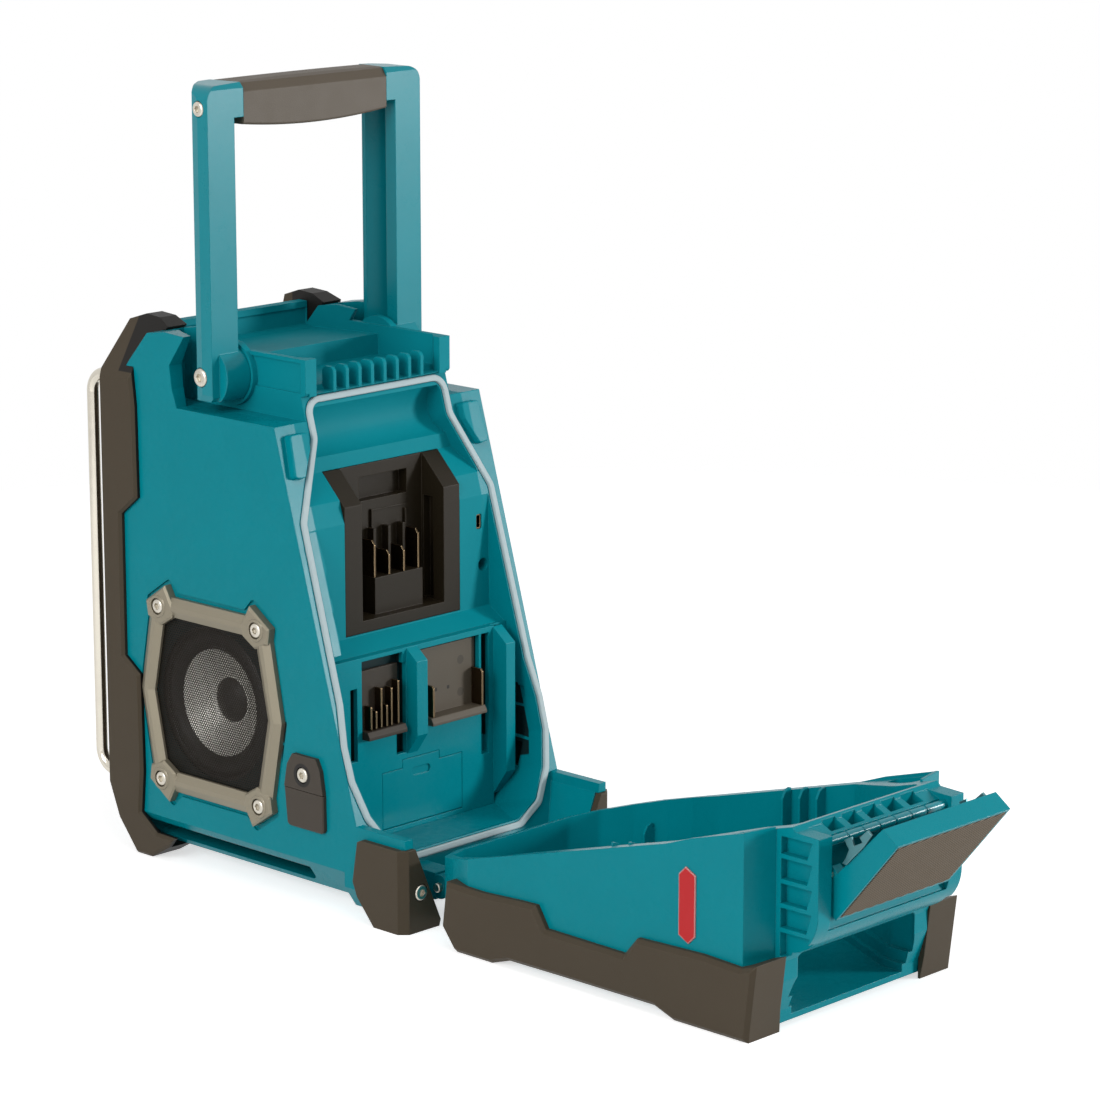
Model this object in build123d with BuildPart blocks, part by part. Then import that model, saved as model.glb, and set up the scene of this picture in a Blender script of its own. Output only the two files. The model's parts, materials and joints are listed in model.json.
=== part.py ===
from build123d import *
import os
from math import asin, atan, cos, degrees, sin

os.makedirs("parts", exist_ok=True)

# ---------------------------------------------------------------------------
# Driving dimensions, millimetres. Y is counted from the lid hinge line and the
# whole radio is moved by Y_ORIGIN, so that the open radio stands centred.
# ---------------------------------------------------------------------------
Y_ORIGIN = -31.4
HALF_WIDTH = 76.0            # moulded body, centre to side
BUMPER_HALF = 79.6           # over the rubber bumpers
BODY_BOTTOM = 8.0            # underside of the body above the floor
FRONT_Y = -221.0             # front face of the body
BUMPER_FRONT_Y = -227.6      # front face of the bumpers
HINGE_Z = 17.5               # lid hinge above the floor
LEDGE_Z = 255.4              # ledges the folded handle lies over
TRAY_Z = 288.0               # rim of the top tray
TRAY_HALF = 53.3             # tray wall, outside
TRAY_INNER = 49.5            # tray wall, inside
TRAY_FRONT_Z = 295.2         # top of the tray's front wall
FRONT_WALL_HALF = 49.8
TRAY_LIP_Y = -199.5          # rear face of that wall's lip
POST_INNER = 45.4            # inner side of the posts at the tray's rear
FACE_SLOPE = 0.29            # lean of the rear face, run over rise
FACE_Y = -20.9               # rear face at hinge height
BAY_FLOOR = 30.0
DECK_Y = -58.0               # lower deck of the bay
UPPER_DECK_Y = -74.0         # upper deck of the bay
UPPER_BACK_Y = -91.0         # wall behind the upper mount
UPPER_DECK_TOP = 209.3
LOWER_DECK_TOP = 131.0
SEAL_WIDTH = 3.6
SEAL_HEIGHT = 1.5
SPEAKER_Y = -142.5
SPEAKER_Z = 96.0
DRIVER_RADIUS = 38.0
BAR_RADIUS = 3.3
PIVOT_Y = -145.6             # handle pivot
FOOT_BOSS = 17.6             # boss on the tray wall at the pivot
PIVOT_Z = 274.9
ARM_OUTER = 77.4
ARM_INNER = 58.6
GRIP_TOP = 430.5
LATCH_Y = 264.5              # latch flap pivot on the open lid
LATCH_Z = 82.0
LID_WALL = 3.0
LID_FLOOR = 3.0
LID_HALF = 74.4
NECK_HALF = 55.3
RIM_BASE = 36.3              # height of the lid rim at the hinge line
RIM_SLOPE = 0.275
WALL = 3.0
EPS = 0.15

LEAN = atan(FACE_SLOPE)


def side(x):
    """Plane across the radio at x: local axes are Y and Z, normal is +X."""
    return Plane(origin=(x, Y_ORIGIN, 0), x_dir=(0, 1, 0), z_dir=(1, 0, 0))


def cross(y):
    """Upright plane at y: local axes are X and Z, normal is -Y."""
    return Plane(origin=(0, Y_ORIGIN + y, 0), x_dir=(1, 0, 0), z_dir=(0, -1, 0))


def level(z):
    """Flat plane at height z: local axes are X and Y."""
    return Plane(origin=(0, Y_ORIGIN, z))


def slope(out):
    """Plane of the rear face, moved outward: local axes are X and up the face, normal goes in."""
    return Plane(
        origin=(0, Y_ORIGIN + FACE_Y + out * cos(LEAN), HINGE_Z + out * sin(LEAN)),
        x_dir=(1, 0, 0),
        z_dir=(0, -cos(LEAN), -sin(LEAN)),
    )


def face_y(z, out=0.0):
    """Y of the rear face at height z."""
    return FACE_Y + out / cos(LEAN) - FACE_SLOPE * (z - HINGE_Z)


def up_face(z):
    """Distance up the rear face at height z."""
    return (z - HINGE_Z) / cos(LEAN)


# Corners of the bay seal's centre line, right half from the top, as x and height.
SEAL_CORNERS = [
    (50, 265.6), (50.2, 246), (69.6, 205), (70.6, 112), (73.6, 91), (73.2, 73), (67.5, 53),
    (57, 36.8), (40, 28.2),
]
SEAL_ROUND = 8.0
PIVOT_RADIUS = 3.0           # handle pivot screws
HINGE_RADIUS = 2.5           # lid hinge pin
LATCH_PIN_RADIUS = 1.5
FIT = 0.07                   # radial play of the running fits

# ---------------------------------------------------------------------------
# Bay: the space cut into the rear of the body
# ---------------------------------------------------------------------------
with BuildSketch(Plane.XY) as seal_outline:
    with BuildLine():
        right_corners = [(x, up_face(z)) for x, z in SEAL_CORNERS]
        left_corners = [(-x, up_face(z)) for x, z in reversed(SEAL_CORNERS)]
        FilletPolyline(*right_corners, *left_corners, radius=SEAL_ROUND, close=True)
    make_face()


def seal_ring(half_width):
    """Band of the given half width along the seal's centre line."""
    with BuildSketch(Plane.XY) as inside:
        add(seal_outline.sketch)
        offset(amount=-half_width, mode=Mode.REPLACE)
    with BuildSketch(Plane.XY) as ring:
        add(seal_outline.sketch)
        offset(amount=half_width, mode=Mode.REPLACE)
        add(inside.sketch, mode=Mode.SUBTRACT)
    return ring.sketch


seal_band = seal_ring(SEAL_WIDTH / 2)
groove_band = seal_ring(SEAL_WIDTH / 2 + EPS)

with BuildPart() as bay_space:
    with BuildSketch(slope(12)):
        add(seal_outline.sketch)
        offset(amount=-SEAL_WIDTH / 2 - 1.2, mode=Mode.REPLACE)
    extrude(amount=110)
    with BuildSketch(side(-90)):
        with BuildLine():
            Polyline(
                (30, BAY_FLOOR), (DECK_Y - 5, BAY_FLOOR), (DECK_Y - 5, LOWER_DECK_TOP + 0.1),
                (UPPER_DECK_Y, LOWER_DECK_TOP + 7), (UPPER_DECK_Y, UPPER_DECK_TOP),
                (UPPER_BACK_Y, 226.4), (UPPER_BACK_Y, 234.5),
            )
            RadiusArc((UPPER_BACK_Y, 234.5), (-97, 261.5), 17)
            Polyline((-97, 261.5), (-40, 262.5), (30, 262.5), (30, BAY_FLOOR))
        make_face()
    extrude(amount=180, mode=Mode.INTERSECT)

# Space for the electronics, closed off from the bay.
with BuildPart() as inner_space:
    with BuildSketch(side(-HALF_WIDTH + WALL)):
        with BuildLine():
            Polyline(
                (-213, 30), (-198, BODY_BOTTOM + WALL), (-70, BODY_BOTTOM + WALL), (-70, 128),
                (-108, 150), (-108, 232), (-122, 250), (-213, 250), close=True,
            )
        make_face()
    extrude(amount=2 * (HALF_WIDTH - WALL))
    fillet(inner_space.edges().filter_by(Axis.X), radius=4)

# Outline of the loudspeaker frame about its centre.
FRAME_QUARTER = [(0, 54.6), (28, 54.6), (34, 61), (49.6, 50.6), (48.4, 43.5), (56.6, 0)]
OPENING_QUARTER = [(0, 43.6), (28.5, 43.6), (38, 38), (46, 0)]


def four_fold(quarter):
    """Closed outline from one quarter given from the top centre to the side centre."""
    right_top = quarter[1:]
    right_low = [(x, -z) for x, z in reversed(quarter[1:-1])]
    left_low = [(-x, -z) for x, z in quarter[1:]]
    left_top = [(-x, z) for x, z in reversed(quarter[1:-1])]
    return right_top + right_low + left_low + left_top


def about_speaker(outline):
    """Move an outline to the speaker centre on a side plane."""
    return [(SPEAKER_Y + y, SPEAKER_Z + z) for y, z in outline]


FRAME_OUTLINE = about_speaker(four_fold(FRAME_QUARTER))
OPENING_OUTLINE = about_speaker(four_fold(OPENING_QUARTER))
FRAME_SCREW_POINTS = [
    (SPEAKER_Y + sy * 39.5, SPEAKER_Z + sz * 48.6) for sy in (-1, 1) for sz in (-1, 1)
]

# Corner bumper at the front, seen from the side: outside edge, then edge against the body.
FRONT_BUMPER_OUTSIDE = [
    (-186.6, 295.6), (-195.6, 299.6), (-207, 300.4), (-218.6, 296.6), (-227.6, 266),
    (-227.6, 37), (-219.6, 17.4), (-205, 0), (-192.8, 0), (-178.7, 8),
]
FRONT_BUMPER_INSIDE = [
    (-173.2, 14.4), (-188, 14.7), (-201, 24), (-198.8, 47.7), (-199.5, 102.9),
    (-212.1, 111.6), (-212, 191.3), (-198.5, 202), (-199.2, 252.7), (-202, 277), (-188.8, 293),
]
BUMPER_CREST = (61.2, 300.4)  # the top leans inward to this crest, x and height
BUMPER_LEAN_Z = 267.5         # where it starts to lean

PAD_CORNERS = [(56.4, 250.4), (70.2, 250.4), (72.2, 227.6), (64.4, 227), (56.8, 241.5)]
PAD_HEIGHT = 4.2

# Raised pads at the upper corners of the rear face.
with BuildPart() as corner_pads:
    with BuildSketch(slope(-1)):
        with BuildLine():
            FilletPolyline(*[(x, up_face(z)) for x, z in PAD_CORNERS], radius=2.4, close=True)
        make_face()
    extrude(amount=-(PAD_HEIGHT + 1), taper=6)
    pad_face = corner_pads.faces().sort_by(Axis((0, 0, 0), (0, cos(LEAN), sin(LEAN))))[-1]
    fillet(pad_face.edges(), radius=0.6)
    mirror(about=Plane.YZ)

# ---------------------------------------------------------------------------
# Body moulding
# ---------------------------------------------------------------------------
FIN_PITCH = 9.2
FIN_TOP = 281.6
FIN_COUNT = 8
FIN_CENTRE_X = -0.8
LUG_X = (-39, 0, 39)
JACK_Y = -72.0
JACK_Z = 52.5
LUG_WIDTH = 13.0

with BuildPart() as housing:
    # main block up to the handle ledges, rear face leaning forward
    with BuildSketch(side(-HALF_WIDTH)):
        with BuildLine():
            Polyline(
                (FRONT_Y, 32), (-202, BODY_BOTTOM), (face_y(BODY_BOTTOM), BODY_BOTTOM),
                (face_y(LEDGE_Z), LEDGE_Z), (FRONT_Y, LEDGE_Z), close=True,
            )
        make_face()
    extrude(amount=2 * HALF_WIDTH)
    # raised front shoulder that carries the top of the bumpers
    with BuildSketch(side(-HALF_WIDTH)):
        with BuildLine():
            Polyline(
                (-166.7, LEDGE_Z - 1), (-170.6, 265.4), (-172.3, 278.1), (-160, 294.7),
                (-175.6, 295.6), (-190, 293.5), (-205, 277), (FRONT_Y, 258), (FRONT_Y, LEDGE_Z - 1),
                close=True,
            )
        make_face()
    extrude(amount=2 * HALF_WIDTH)
    # the shoulder is cut back beside the tray, where the handle arm folds
    for s in (-1, 1):
        with BuildSketch(level(LEDGE_Z)):
            with BuildLine():
                Polyline(
                    (s * 72.5, -150), (s * 70.8, -160.5), (s * 63, -184.5), (s * TRAY_HALF, -186),
                    (s * (TRAY_HALF - 2), -150), close=True,
                )
            make_face()
        extrude(amount=60, mode=Mode.SUBTRACT)
    # tray tower between the handle recesses
    with BuildSketch(side(-TRAY_HALF)):
        with BuildLine():
            Polyline(
                (-180, LEDGE_Z - 1), (face_y(LEDGE_Z - 1), LEDGE_Z - 1), (face_y(267.7), 267.7),
                (-90.6, 268.7), (-89.7, 270), (-89.7, TRAY_Z), (-180, TRAY_Z), close=True,
            )
        make_face()
    extrude(amount=2 * TRAY_HALF)
    # lower side edges are bevelled
    for s in (-1, 1):
        with BuildSketch(cross(40)):
            with BuildLine():
                Polyline(
                    (s * 65, BODY_BOTTOM - 1), (s * 65, BODY_BOTTOM), (s * HALF_WIDTH, 24),
                    (s * (HALF_WIDTH + 1), 24), (s * (HALF_WIDTH + 1), BODY_BOTTOM - 1), close=True,
                )
            make_face()
        extrude(amount=300, mode=Mode.SUBTRACT)
    # wings that reach back on both sides of the lid
    for s in (-1, 1):
        with BuildSketch(cross(4)):
            with BuildLine():
                Polyline(
                    (s * HALF_WIDTH, 45.5), (s * 69.6, 45.5), (s * 54.5, 8), (s * 56, 4),
                    (s * 68, 4), (s * HALF_WIDTH, 16), close=True,
                )
            make_face()
        extrude(amount=44)
        with BuildSketch(cross(6)):
            with BuildLine():
                Polyline(
                    (s * HALF_WIDTH, 45.5), (s * 70, 45.5), (s * 70.8, 50.6),
                    (s * HALF_WIDTH, 50.6), close=True,
                )
            make_face()
        extrude(amount=40)
    # bay and inner space
    add(bay_space.part, mode=Mode.SUBTRACT)
    add(inner_space.part, mode=Mode.SUBTRACT)
    # pocket for the upper mount and the lower deck
    with BuildSketch(cross(UPPER_DECK_Y + 4)):
        with Locations((-1.75, 182.6)):
            Rectangle(85.8, 87.8)
    extrude(amount=31, mode=Mode.SUBTRACT)
    # groove of the seal
    with BuildSketch(slope(0.5)):
        add(groove_band)
    extrude(amount=1.7, mode=Mode.SUBTRACT)
    add(corner_pads.part)
    # front wall of the tray between the bumpers
    with BuildSketch(side(-FRONT_WALL_HALF)):
        with BuildLine():
            Polyline(
                (-212, 256), (-212, 290), (-206, TRAY_FRONT_Z), (TRAY_LIP_Y, TRAY_FRONT_Z),
                (TRAY_LIP_Y, 256), close=True,
            )
        make_face()
    extrude(amount=2 * FRONT_WALL_HALF)
    # tray: high shelf in front, deep pocket behind, comb wall at the rear
    with BuildSketch(side(-TRAY_INNER)):
        with BuildLine():
            Polyline(
                (TRAY_LIP_Y, 302), (TRAY_LIP_Y, TRAY_FRONT_Z - 3.6), (TRAY_LIP_Y - 1.2, TRAY_FRONT_Z - 4.2),
                (TRAY_LIP_Y - 1.2, 282), (-194, 281), (-142, 283.4), (-142, 271.7), (-99.5, 271.7),
                (-97.5, 269.2), (-80, 269.2), (-80, 302), close=True,
            )
        make_face()
    extrude(amount=2 * TRAY_INNER, mode=Mode.SUBTRACT)
    # thicker posts at the rear ends of the tray walls
    for s in (-1, 1):
        with BuildSketch(level(268)):
            with BuildLine():
                Polyline(
                    (s * TRAY_INNER, -99), (s * POST_INNER, -94), (s * POST_INNER, -89.7),
                    (s * (TRAY_INNER + 1), -89.7), (s * (TRAY_INNER + 1), -99), close=True,
                )
            make_face()
        extrude(amount=TRAY_Z - 268)
    # comb fins across the rear gap
    with BuildSketch(side(FIN_CENTRE_X - 1)):
        with BuildLine():
            Polyline((-99, 268.5), (-90.4, 268.5), (-90.4, FIN_TOP - 2.8))
            RadiusArc((-90.4, FIN_TOP - 2.8), (-93.6, FIN_TOP), -3.2)
            Polyline((-93.6, FIN_TOP), (-97, FIN_TOP), (-99, FIN_TOP - 2), (-99, 268.5))
        make_face()
    fin = extrude(amount=2.2, mode=Mode.PRIVATE)
    with Locations([(FIN_PITCH * (i - (FIN_COUNT - 1) / 2), 0, 0) for i in range(FIN_COUNT)]):
        add(fin)
    # shallow panel and foot of the tray walls
    for s in (-1, 1):
        with BuildSketch(side(s * TRAY_HALF)):
            with Locations((-115.5, 277.8)):
                Rectangle(44, 16)
        extrude(amount=-s * 1.2, mode=Mode.SUBTRACT)
    # loudspeaker openings with a seat for each frame
    for s in (-1, 1):
        with BuildSketch(side(s * HALF_WIDTH)):
            with BuildLine():
                Polyline(FRAME_OUTLINE, close=True)
            make_face()
            offset(amount=2.6, mode=Mode.REPLACE)
        extrude(amount=-s * 1.6, mode=Mode.SUBTRACT)
        with BuildSketch(side(s * HALF_WIDTH)):
            with Locations((SPEAKER_Y, SPEAKER_Z)):
                Circle(DRIVER_RADIUS + 4.5)
        extrude(amount=-s * 12, mode=Mode.SUBTRACT)
        with BuildSketch(side(s * HALF_WIDTH)):
            with Locations(FRAME_SCREW_POINTS):
                Circle(1.5)
        extrude(amount=-s * 10, mode=Mode.SUBTRACT)
    # round bosses on the tray walls, the handle feet turn against them
    for s in (-1, 1):
        with BuildSketch(side(s * (TRAY_HALF - 1.5))):
            with Locations((PIVOT_Y, PIVOT_Z)):
                Circle(FOOT_BOSS)
        extrude(amount=s * 4)
    # pivot bores of the handle, through the tray walls
    with BuildSketch(side(-60)):
        with Locations((PIVOT_Y, PIVOT_Z)):
            Circle(PIVOT_RADIUS + 0.05)
    extrude(amount=120, mode=Mode.SUBTRACT)
    # front opening for the control panel
    with BuildSketch(cross(FRONT_Y - 1)):
        with Locations((0, 144)):
            RectangleRounded(112, 196, 6)
    extrude(amount=-5.7, mode=Mode.SUBTRACT)
    with BuildSketch(cross(FRONT_Y - 1)):
        with Locations((0, 144)):
            RectangleRounded(104, 188, 4)
    extrude(amount=-12, mode=Mode.SUBTRACT)
    # rear sockets beside the upper mount
    with BuildSketch(cross(UPPER_DECK_Y + 1)):
        with Locations((-59.5, 186)):
            RectangleRounded(4.2, 8.4, 1.2)
        with Locations((-62.5, 161.5)):
            Circle(3.6)
    extrude(amount=12, mode=Mode.SUBTRACT)
    # seat of the direct-current inlet
    with BuildSketch(side(HALF_WIDTH)):
        with Locations((JACK_Y, JACK_Z)):
            RectangleRounded(15.4, 16, 3)
    extrude(amount=-18, mode=Mode.SUBTRACT)
    # hinge lugs below the bay
    for x in LUG_X:
        with BuildSketch(side(x - LUG_WIDTH / 2)):
            with BuildLine():
                Polyline((-24, BODY_BOTTOM), (-3, BODY_BOTTOM + 2), (-3, HINGE_Z + 7), (-24, 24.6), close=True)
            make_face()
            with Locations((0, HINGE_Z)):
                Circle(6.5)
        extrude(amount=LUG_WIDTH)
    with BuildSketch(side(-50)):
        with Locations((0, HINGE_Z)):
            Circle(HINGE_RADIUS + 0.03)
    extrude(amount=100, mode=Mode.SUBTRACT)
    # windows in the side walls of the bay
    for s in (-1, 1):
        for z in (57, 73, 89):
            with BuildSketch(side(s * 64)):
                with Locations((-53, z)):
                    Rectangle(6, 13)
            extrude(amount=s * 6.5, mode=Mode.SUBTRACT)


# ---------------------------------------------------------------------------
# Rubber bumpers and guard bars
# ---------------------------------------------------------------------------
BUMPER_INNER = 50.3
with BuildPart() as right_front_bumper:
    with BuildSketch(side(BUMPER_INNER)):
        with BuildLine():
            Polyline(FRONT_BUMPER_OUTSIDE + FRONT_BUMPER_INSIDE, close=True)
        make_face()
    extrude(amount=BUMPER_HALF - BUMPER_INNER)
    outer_face = right_front_bumper.faces().sort_by(Axis.X)[-1]
    chamfer(outer_face.edges().filter_by(lambda e: e.length > 9), length=1.6)
    with BuildSketch(cross(-180)):
        with BuildLine():
            Polyline(
                (BUMPER_INNER + 7.7, -1), (BUMPER_HALF, -1), (BUMPER_HALF, BUMPER_LEAN_Z), BUMPER_CREST,
                (BUMPER_INNER, BUMPER_CREST[1]), (BUMPER_INNER, 268), (BUMPER_INNER + 7.7, 256),
                close=True,
            )
        make_face()
    extrude(amount=60, both=True, mode=Mode.INTERSECT)
    # room for the body and for the guard bar
    with BuildSketch(side(40)):
        with BuildLine():
            Polyline(
                (FRONT_Y - EPS, 32 - EPS), (-202 - EPS, BODY_BOTTOM - EPS), (-100, BODY_BOTTOM - EPS),
                (-100, 296), (-160, 294.7 + EPS), (-175.6, 295.6 + EPS), (-190, 293.5 + EPS),
                (-205 - EPS, 277 + EPS), (FRONT_Y - EPS, 258 + EPS), close=True,
            )
        make_face()
    extrude(amount=HALF_WIDTH + EPS - 40, mode=Mode.SUBTRACT)
    with BuildSketch(cross(-240)):
        with Locations((74.4, 266.6), (74.4, 42.6)):
            Circle(BAR_RADIUS + 0.1)
    extrude(amount=-18, mode=Mode.SUBTRACT)

with BuildPart() as left_front_bumper:
    mirror(right_front_bumper.part, about=Plane.YZ)

REAR_BUMPER_Y = 8.0
with BuildPart() as right_rear_bumper:
    with BuildSketch(cross(REAR_BUMPER_Y)):
        with BuildLine():
            Polyline(
                (BUMPER_HALF, 0), (BUMPER_HALF, 46.8), (70.4, 45.3), (52.4, 3.5), (53.5, 0), close=True
            )
        make_face()
    extrude(amount=40)
    with BuildSketch(side(40)):
        with BuildLine():
            Polyline(
                (REAR_BUMPER_Y, 0), (REAR_BUMPER_Y, 45.3), (6, 45.3), (-24, 45.3), (-26.4, 44),
                (-30.1, 21.7), (-26.9, 14.1), (-14.5, 0), close=True,
            )
        make_face()
    extrude(amount=50, mode=Mode.INTERSECT)
    rear_corner = (
        right_rear_bumper.edges().filter_by(Axis.Z).group_by(Axis.X)[-1].sort_by(Axis.Y)[-1]
    )
    chamfer(rear_corner, length=4.4)
    with BuildSketch(cross(4 + EPS)):
        with BuildLine():
            Polyline(
                (HALF_WIDTH + EPS, 60), (HALF_WIDTH + EPS, 15.8), (68, 4 - EPS), (40, 4 - EPS),
                (40, 60), close=True,
            )
        make_face()
    extrude(amount=60, mode=Mode.SUBTRACT)
    with BuildSketch(cross(REAR_BUMPER_Y)):
        with Locations((66.5, 21)):
            Circle(4.6)
    extrude(amount=1.6, mode=Mode.SUBTRACT)
    with BuildSketch(cross(REAR_BUMPER_Y)):
        with Locations((66.5, 21)):
            Circle(1.9)
    extrude(amount=5, mode=Mode.SUBTRACT)

with BuildPart() as left_rear_bumper:
    mirror(right_rear_bumper.part, about=Plane.YZ)

with BuildPart() as right_guard_bar:
    with BuildLine(side(74.4)) as bar_path:
        FilletPolyline(
            (-222.4, 266.6), (-238.2, 266.6), (-238.2, 42.6), (-222.4, 42.6), radius=11
        )
    with BuildSketch(Plane(origin=bar_path.line @ 0, z_dir=bar_path.line % 0)):
        Circle(BAR_RADIUS)
    sweep(path=bar_path.line)

with BuildPart() as left_guard_bar:
    mirror(right_guard_bar.part, about=Plane.YZ)

# ---------------------------------------------------------------------------
# Loudspeakers
# ---------------------------------------------------------------------------
FRAME_BACK = HALF_WIDTH - 1.6 + 0.05
BAR_SHOULDER = 77.3          # the bevels of the bars begin here
BAR_RIDGE = 79.5
BLOCK_BEVEL = 78.7           # the edges of the corner blocks are bevelled from here
FRAME_FRONT = 80.4           # rings round the screws
BAR_QUARTER = [(0, 54.6), (31, 54.6), (48.4, 43.5), (56.6, 0)]
BLOCK = [(27.6, 50), (34, 61), (49.6, 50.6), (48.2, 42), (38, 38), (28.5, 43.6)]
with BuildPart() as right_speaker_frame:
    # eight bars, bevelled outward and inward from a ridge
    with BuildSketch(side(FRAME_BACK)):
        with BuildLine():
            Polyline(about_speaker(four_fold(BAR_QUARTER)), close=True)
        make_face()
    extrude(amount=BAR_SHOULDER - FRAME_BACK)
    with BuildSketch(side(BAR_SHOULDER)):
        with BuildLine():
            Polyline(about_speaker(four_fold(BAR_QUARTER)), close=True)
        make_face()
    extrude(amount=BAR_RIDGE - BAR_SHOULDER, taper=62)
    with BuildSketch(side(BAR_SHOULDER)):
        with BuildLine():
            Polyline(OPENING_OUTLINE, close=True)
        make_face()
    extrude(amount=BAR_RIDGE + 0.5 - BAR_SHOULDER, taper=-62, mode=Mode.SUBTRACT)
    # raised block with a ring at each corner
    for y_sign, z_sign in ((1, 1), (1, -1), (-1, -1), (-1, 1)):
        block = about_speaker([(y * y_sign, z * z_sign) for y, z in BLOCK])
        for x, height, taper in ((FRAME_BACK, BLOCK_BEVEL - FRAME_BACK, 0), (BLOCK_BEVEL, 1.1, 45)):
            with BuildSketch(side(x)):
                with BuildLine():
                    Polyline(block, close=True)
                make_face()
            extrude(amount=height, taper=taper)
    for x, height, taper in ((BLOCK_BEVEL, FRAME_FRONT - 0.4 - BLOCK_BEVEL, 0), (FRAME_FRONT - 0.4, 0.4, 45)):
        with BuildSketch(side(x)):
            with Locations(FRAME_SCREW_POINTS):
                Circle(6.3)
        extrude(amount=height, taper=taper)
    with BuildSketch(side(FRAME_BACK)):
        with BuildLine():
            Polyline(OPENING_OUTLINE, close=True)
        make_face()
    extrude(amount=FRAME_FRONT - FRAME_BACK, mode=Mode.SUBTRACT)
    # rebate for the mesh
    with BuildSketch(side(FRAME_BACK)):
        with BuildLine():
            Polyline(OPENING_OUTLINE, close=True)
        make_face()
        offset(amount=2.2, mode=Mode.REPLACE)
    extrude(amount=1.3, mode=Mode.SUBTRACT)
    with BuildSketch(side(FRAME_FRONT)):
        with Locations(FRAME_SCREW_POINTS):
            Circle(4.6)
    extrude(amount=-2.4, mode=Mode.SUBTRACT)
    with BuildSketch(side(FRAME_FRONT)):
        with Locations(FRAME_SCREW_POINTS):
            Circle(1.6)
    extrude(amount=-8, mode=Mode.SUBTRACT)

with BuildPart() as left_speaker_frame:
    mirror(right_speaker_frame.part, about=Plane.YZ)

with BuildPart() as right_grille_mesh:
    with BuildSketch(side(FRAME_BACK + 0.1)):
        with BuildLine():
            Polyline(OPENING_OUTLINE, close=True)
        make_face()
        offset(amount=2.0, mode=Mode.REPLACE)
    extrude(amount=1.0)

with BuildPart() as left_grille_mesh:
    mirror(right_grille_mesh.part, about=Plane.YZ)

DRIVER_FLANGE = 72.9
CONE_RADIUS = 30.0
CONE_EDGE = 71.0             # x of the cone's rim
CAP_RIM = 12.4               # dust cap: a spherical dome
CAP_FOOT, CAP_TIP = 61.8, 66.0
CAP_RADIUS = ((CAP_TIP - CAP_FOOT) ** 2 + CAP_RIM ** 2) / (2 * (CAP_TIP - CAP_FOOT))
CAP_ANGLE = asin(CAP_RIM / CAP_RADIUS)
with BuildPart() as right_speaker_driver:
    with BuildSketch(Plane(origin=(0, Y_ORIGIN + SPEAKER_Y, SPEAKER_Z), x_dir=(1, 0, 0), z_dir=(0, 1, 0))):
        with BuildLine():
            Polyline(
                (30, 0), (30, 26), (42, 28), (46, 20), (52, 22), (68, 39.5), (70.4, 46.5),
                (DRIVER_FLANGE, 46.5), (DRIVER_FLANGE, 41), (72.2, 40.4),
            )
            ThreePointArc((72.2, 40.4), (73.9, 35.6), (71.6, CONE_RADIUS + 0.8))
            Polyline(
                (71.6, CONE_RADIUS + 0.8), (CONE_EDGE, CONE_RADIUS), (CAP_FOOT, CAP_RIM + 1.2), (CAP_FOOT, CAP_RIM)
            )
            CenterArc((CAP_TIP - CAP_RADIUS, 0), CAP_RADIUS, 0, degrees(CAP_ANGLE))
            Line((CAP_TIP, 0), (30, 0))
        make_face()
    revolve(axis=Axis((0, Y_ORIGIN + SPEAKER_Y, SPEAKER_Z), (1, 0, 0)))

with BuildPart() as left_speaker_driver:
    mirror(right_speaker_driver.part, about=Plane.YZ)


def socket_screw(plane, head_radius, head_height, shank_radius, shank_length):
    """Button-head screw with a hexagon socket; the plane lies under the head, normal outward."""
    with BuildPart() as screw:
        with BuildSketch(plane):
            Circle(head_radius)
        extrude(amount=head_height)
        head_edge = screw.edges().sort_by(Axis(plane.origin, plane.z_dir))[-1]
        fillet(head_edge, radius=min(head_height * 0.6, head_radius * 0.4))
        with BuildSketch(plane.offset(head_height)):
            RegularPolygon(radius=head_radius * 0.48, side_count=6)
        extrude(amount=-head_height * 0.7, mode=Mode.SUBTRACT)
        with BuildSketch(plane):
            Circle(shank_radius)
        extrude(amount=-shank_length)
    return screw.part


with BuildPart() as frame_screws:
    for y, z in FRAME_SCREW_POINTS:
        seat = Plane(origin=(FRAME_FRONT - 2.4, Y_ORIGIN + y, z), x_dir=(0, 1, 0), z_dir=(1, 0, 0))
        add(socket_screw(seat, 4.2, 2.3, 1.4, 11))
    mirror(about=Plane.YZ)

with BuildPart() as bumper_screws:
    seat = Plane(origin=(66.5, Y_ORIGIN + REAR_BUMPER_Y - 1.6, 21), x_dir=(1, 0, 0), z_dir=(0, 1, 0))
    add(socket_screw(seat, 4.3, 2.2, 1.7, 2.3))
    mirror(about=Plane.YZ)

# ---------------------------------------------------------------------------
# Bay: lower deck, upper mount, terminals, seal, sockets
# ---------------------------------------------------------------------------
BACKUP_X = (-29.4, 30.4)
BACKUP_TOP = 64.4
BACKUP_TAB_TOP = 69.0
BACKUP_TAB = (-12, 15.3)


def slide_rail(x0, x1, front_y, z0, z1):
    """Upright guide rail standing on the deck, tapered at both ends."""
    reach = front_y - DECK_Y
    with BuildPart() as rail:
        with BuildSketch(side(x0)):
            with BuildLine():
                Polyline(
                    (DECK_Y - 1, z0), (DECK_Y, z0), (front_y, z0 + reach * 1.4),
                    (front_y, z1 - reach * 0.8), (DECK_Y, z1), (DECK_Y - 1, z1), close=True,
                )
            make_face()
        extrude(amount=x1 - x0)
    return rail.part


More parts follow.
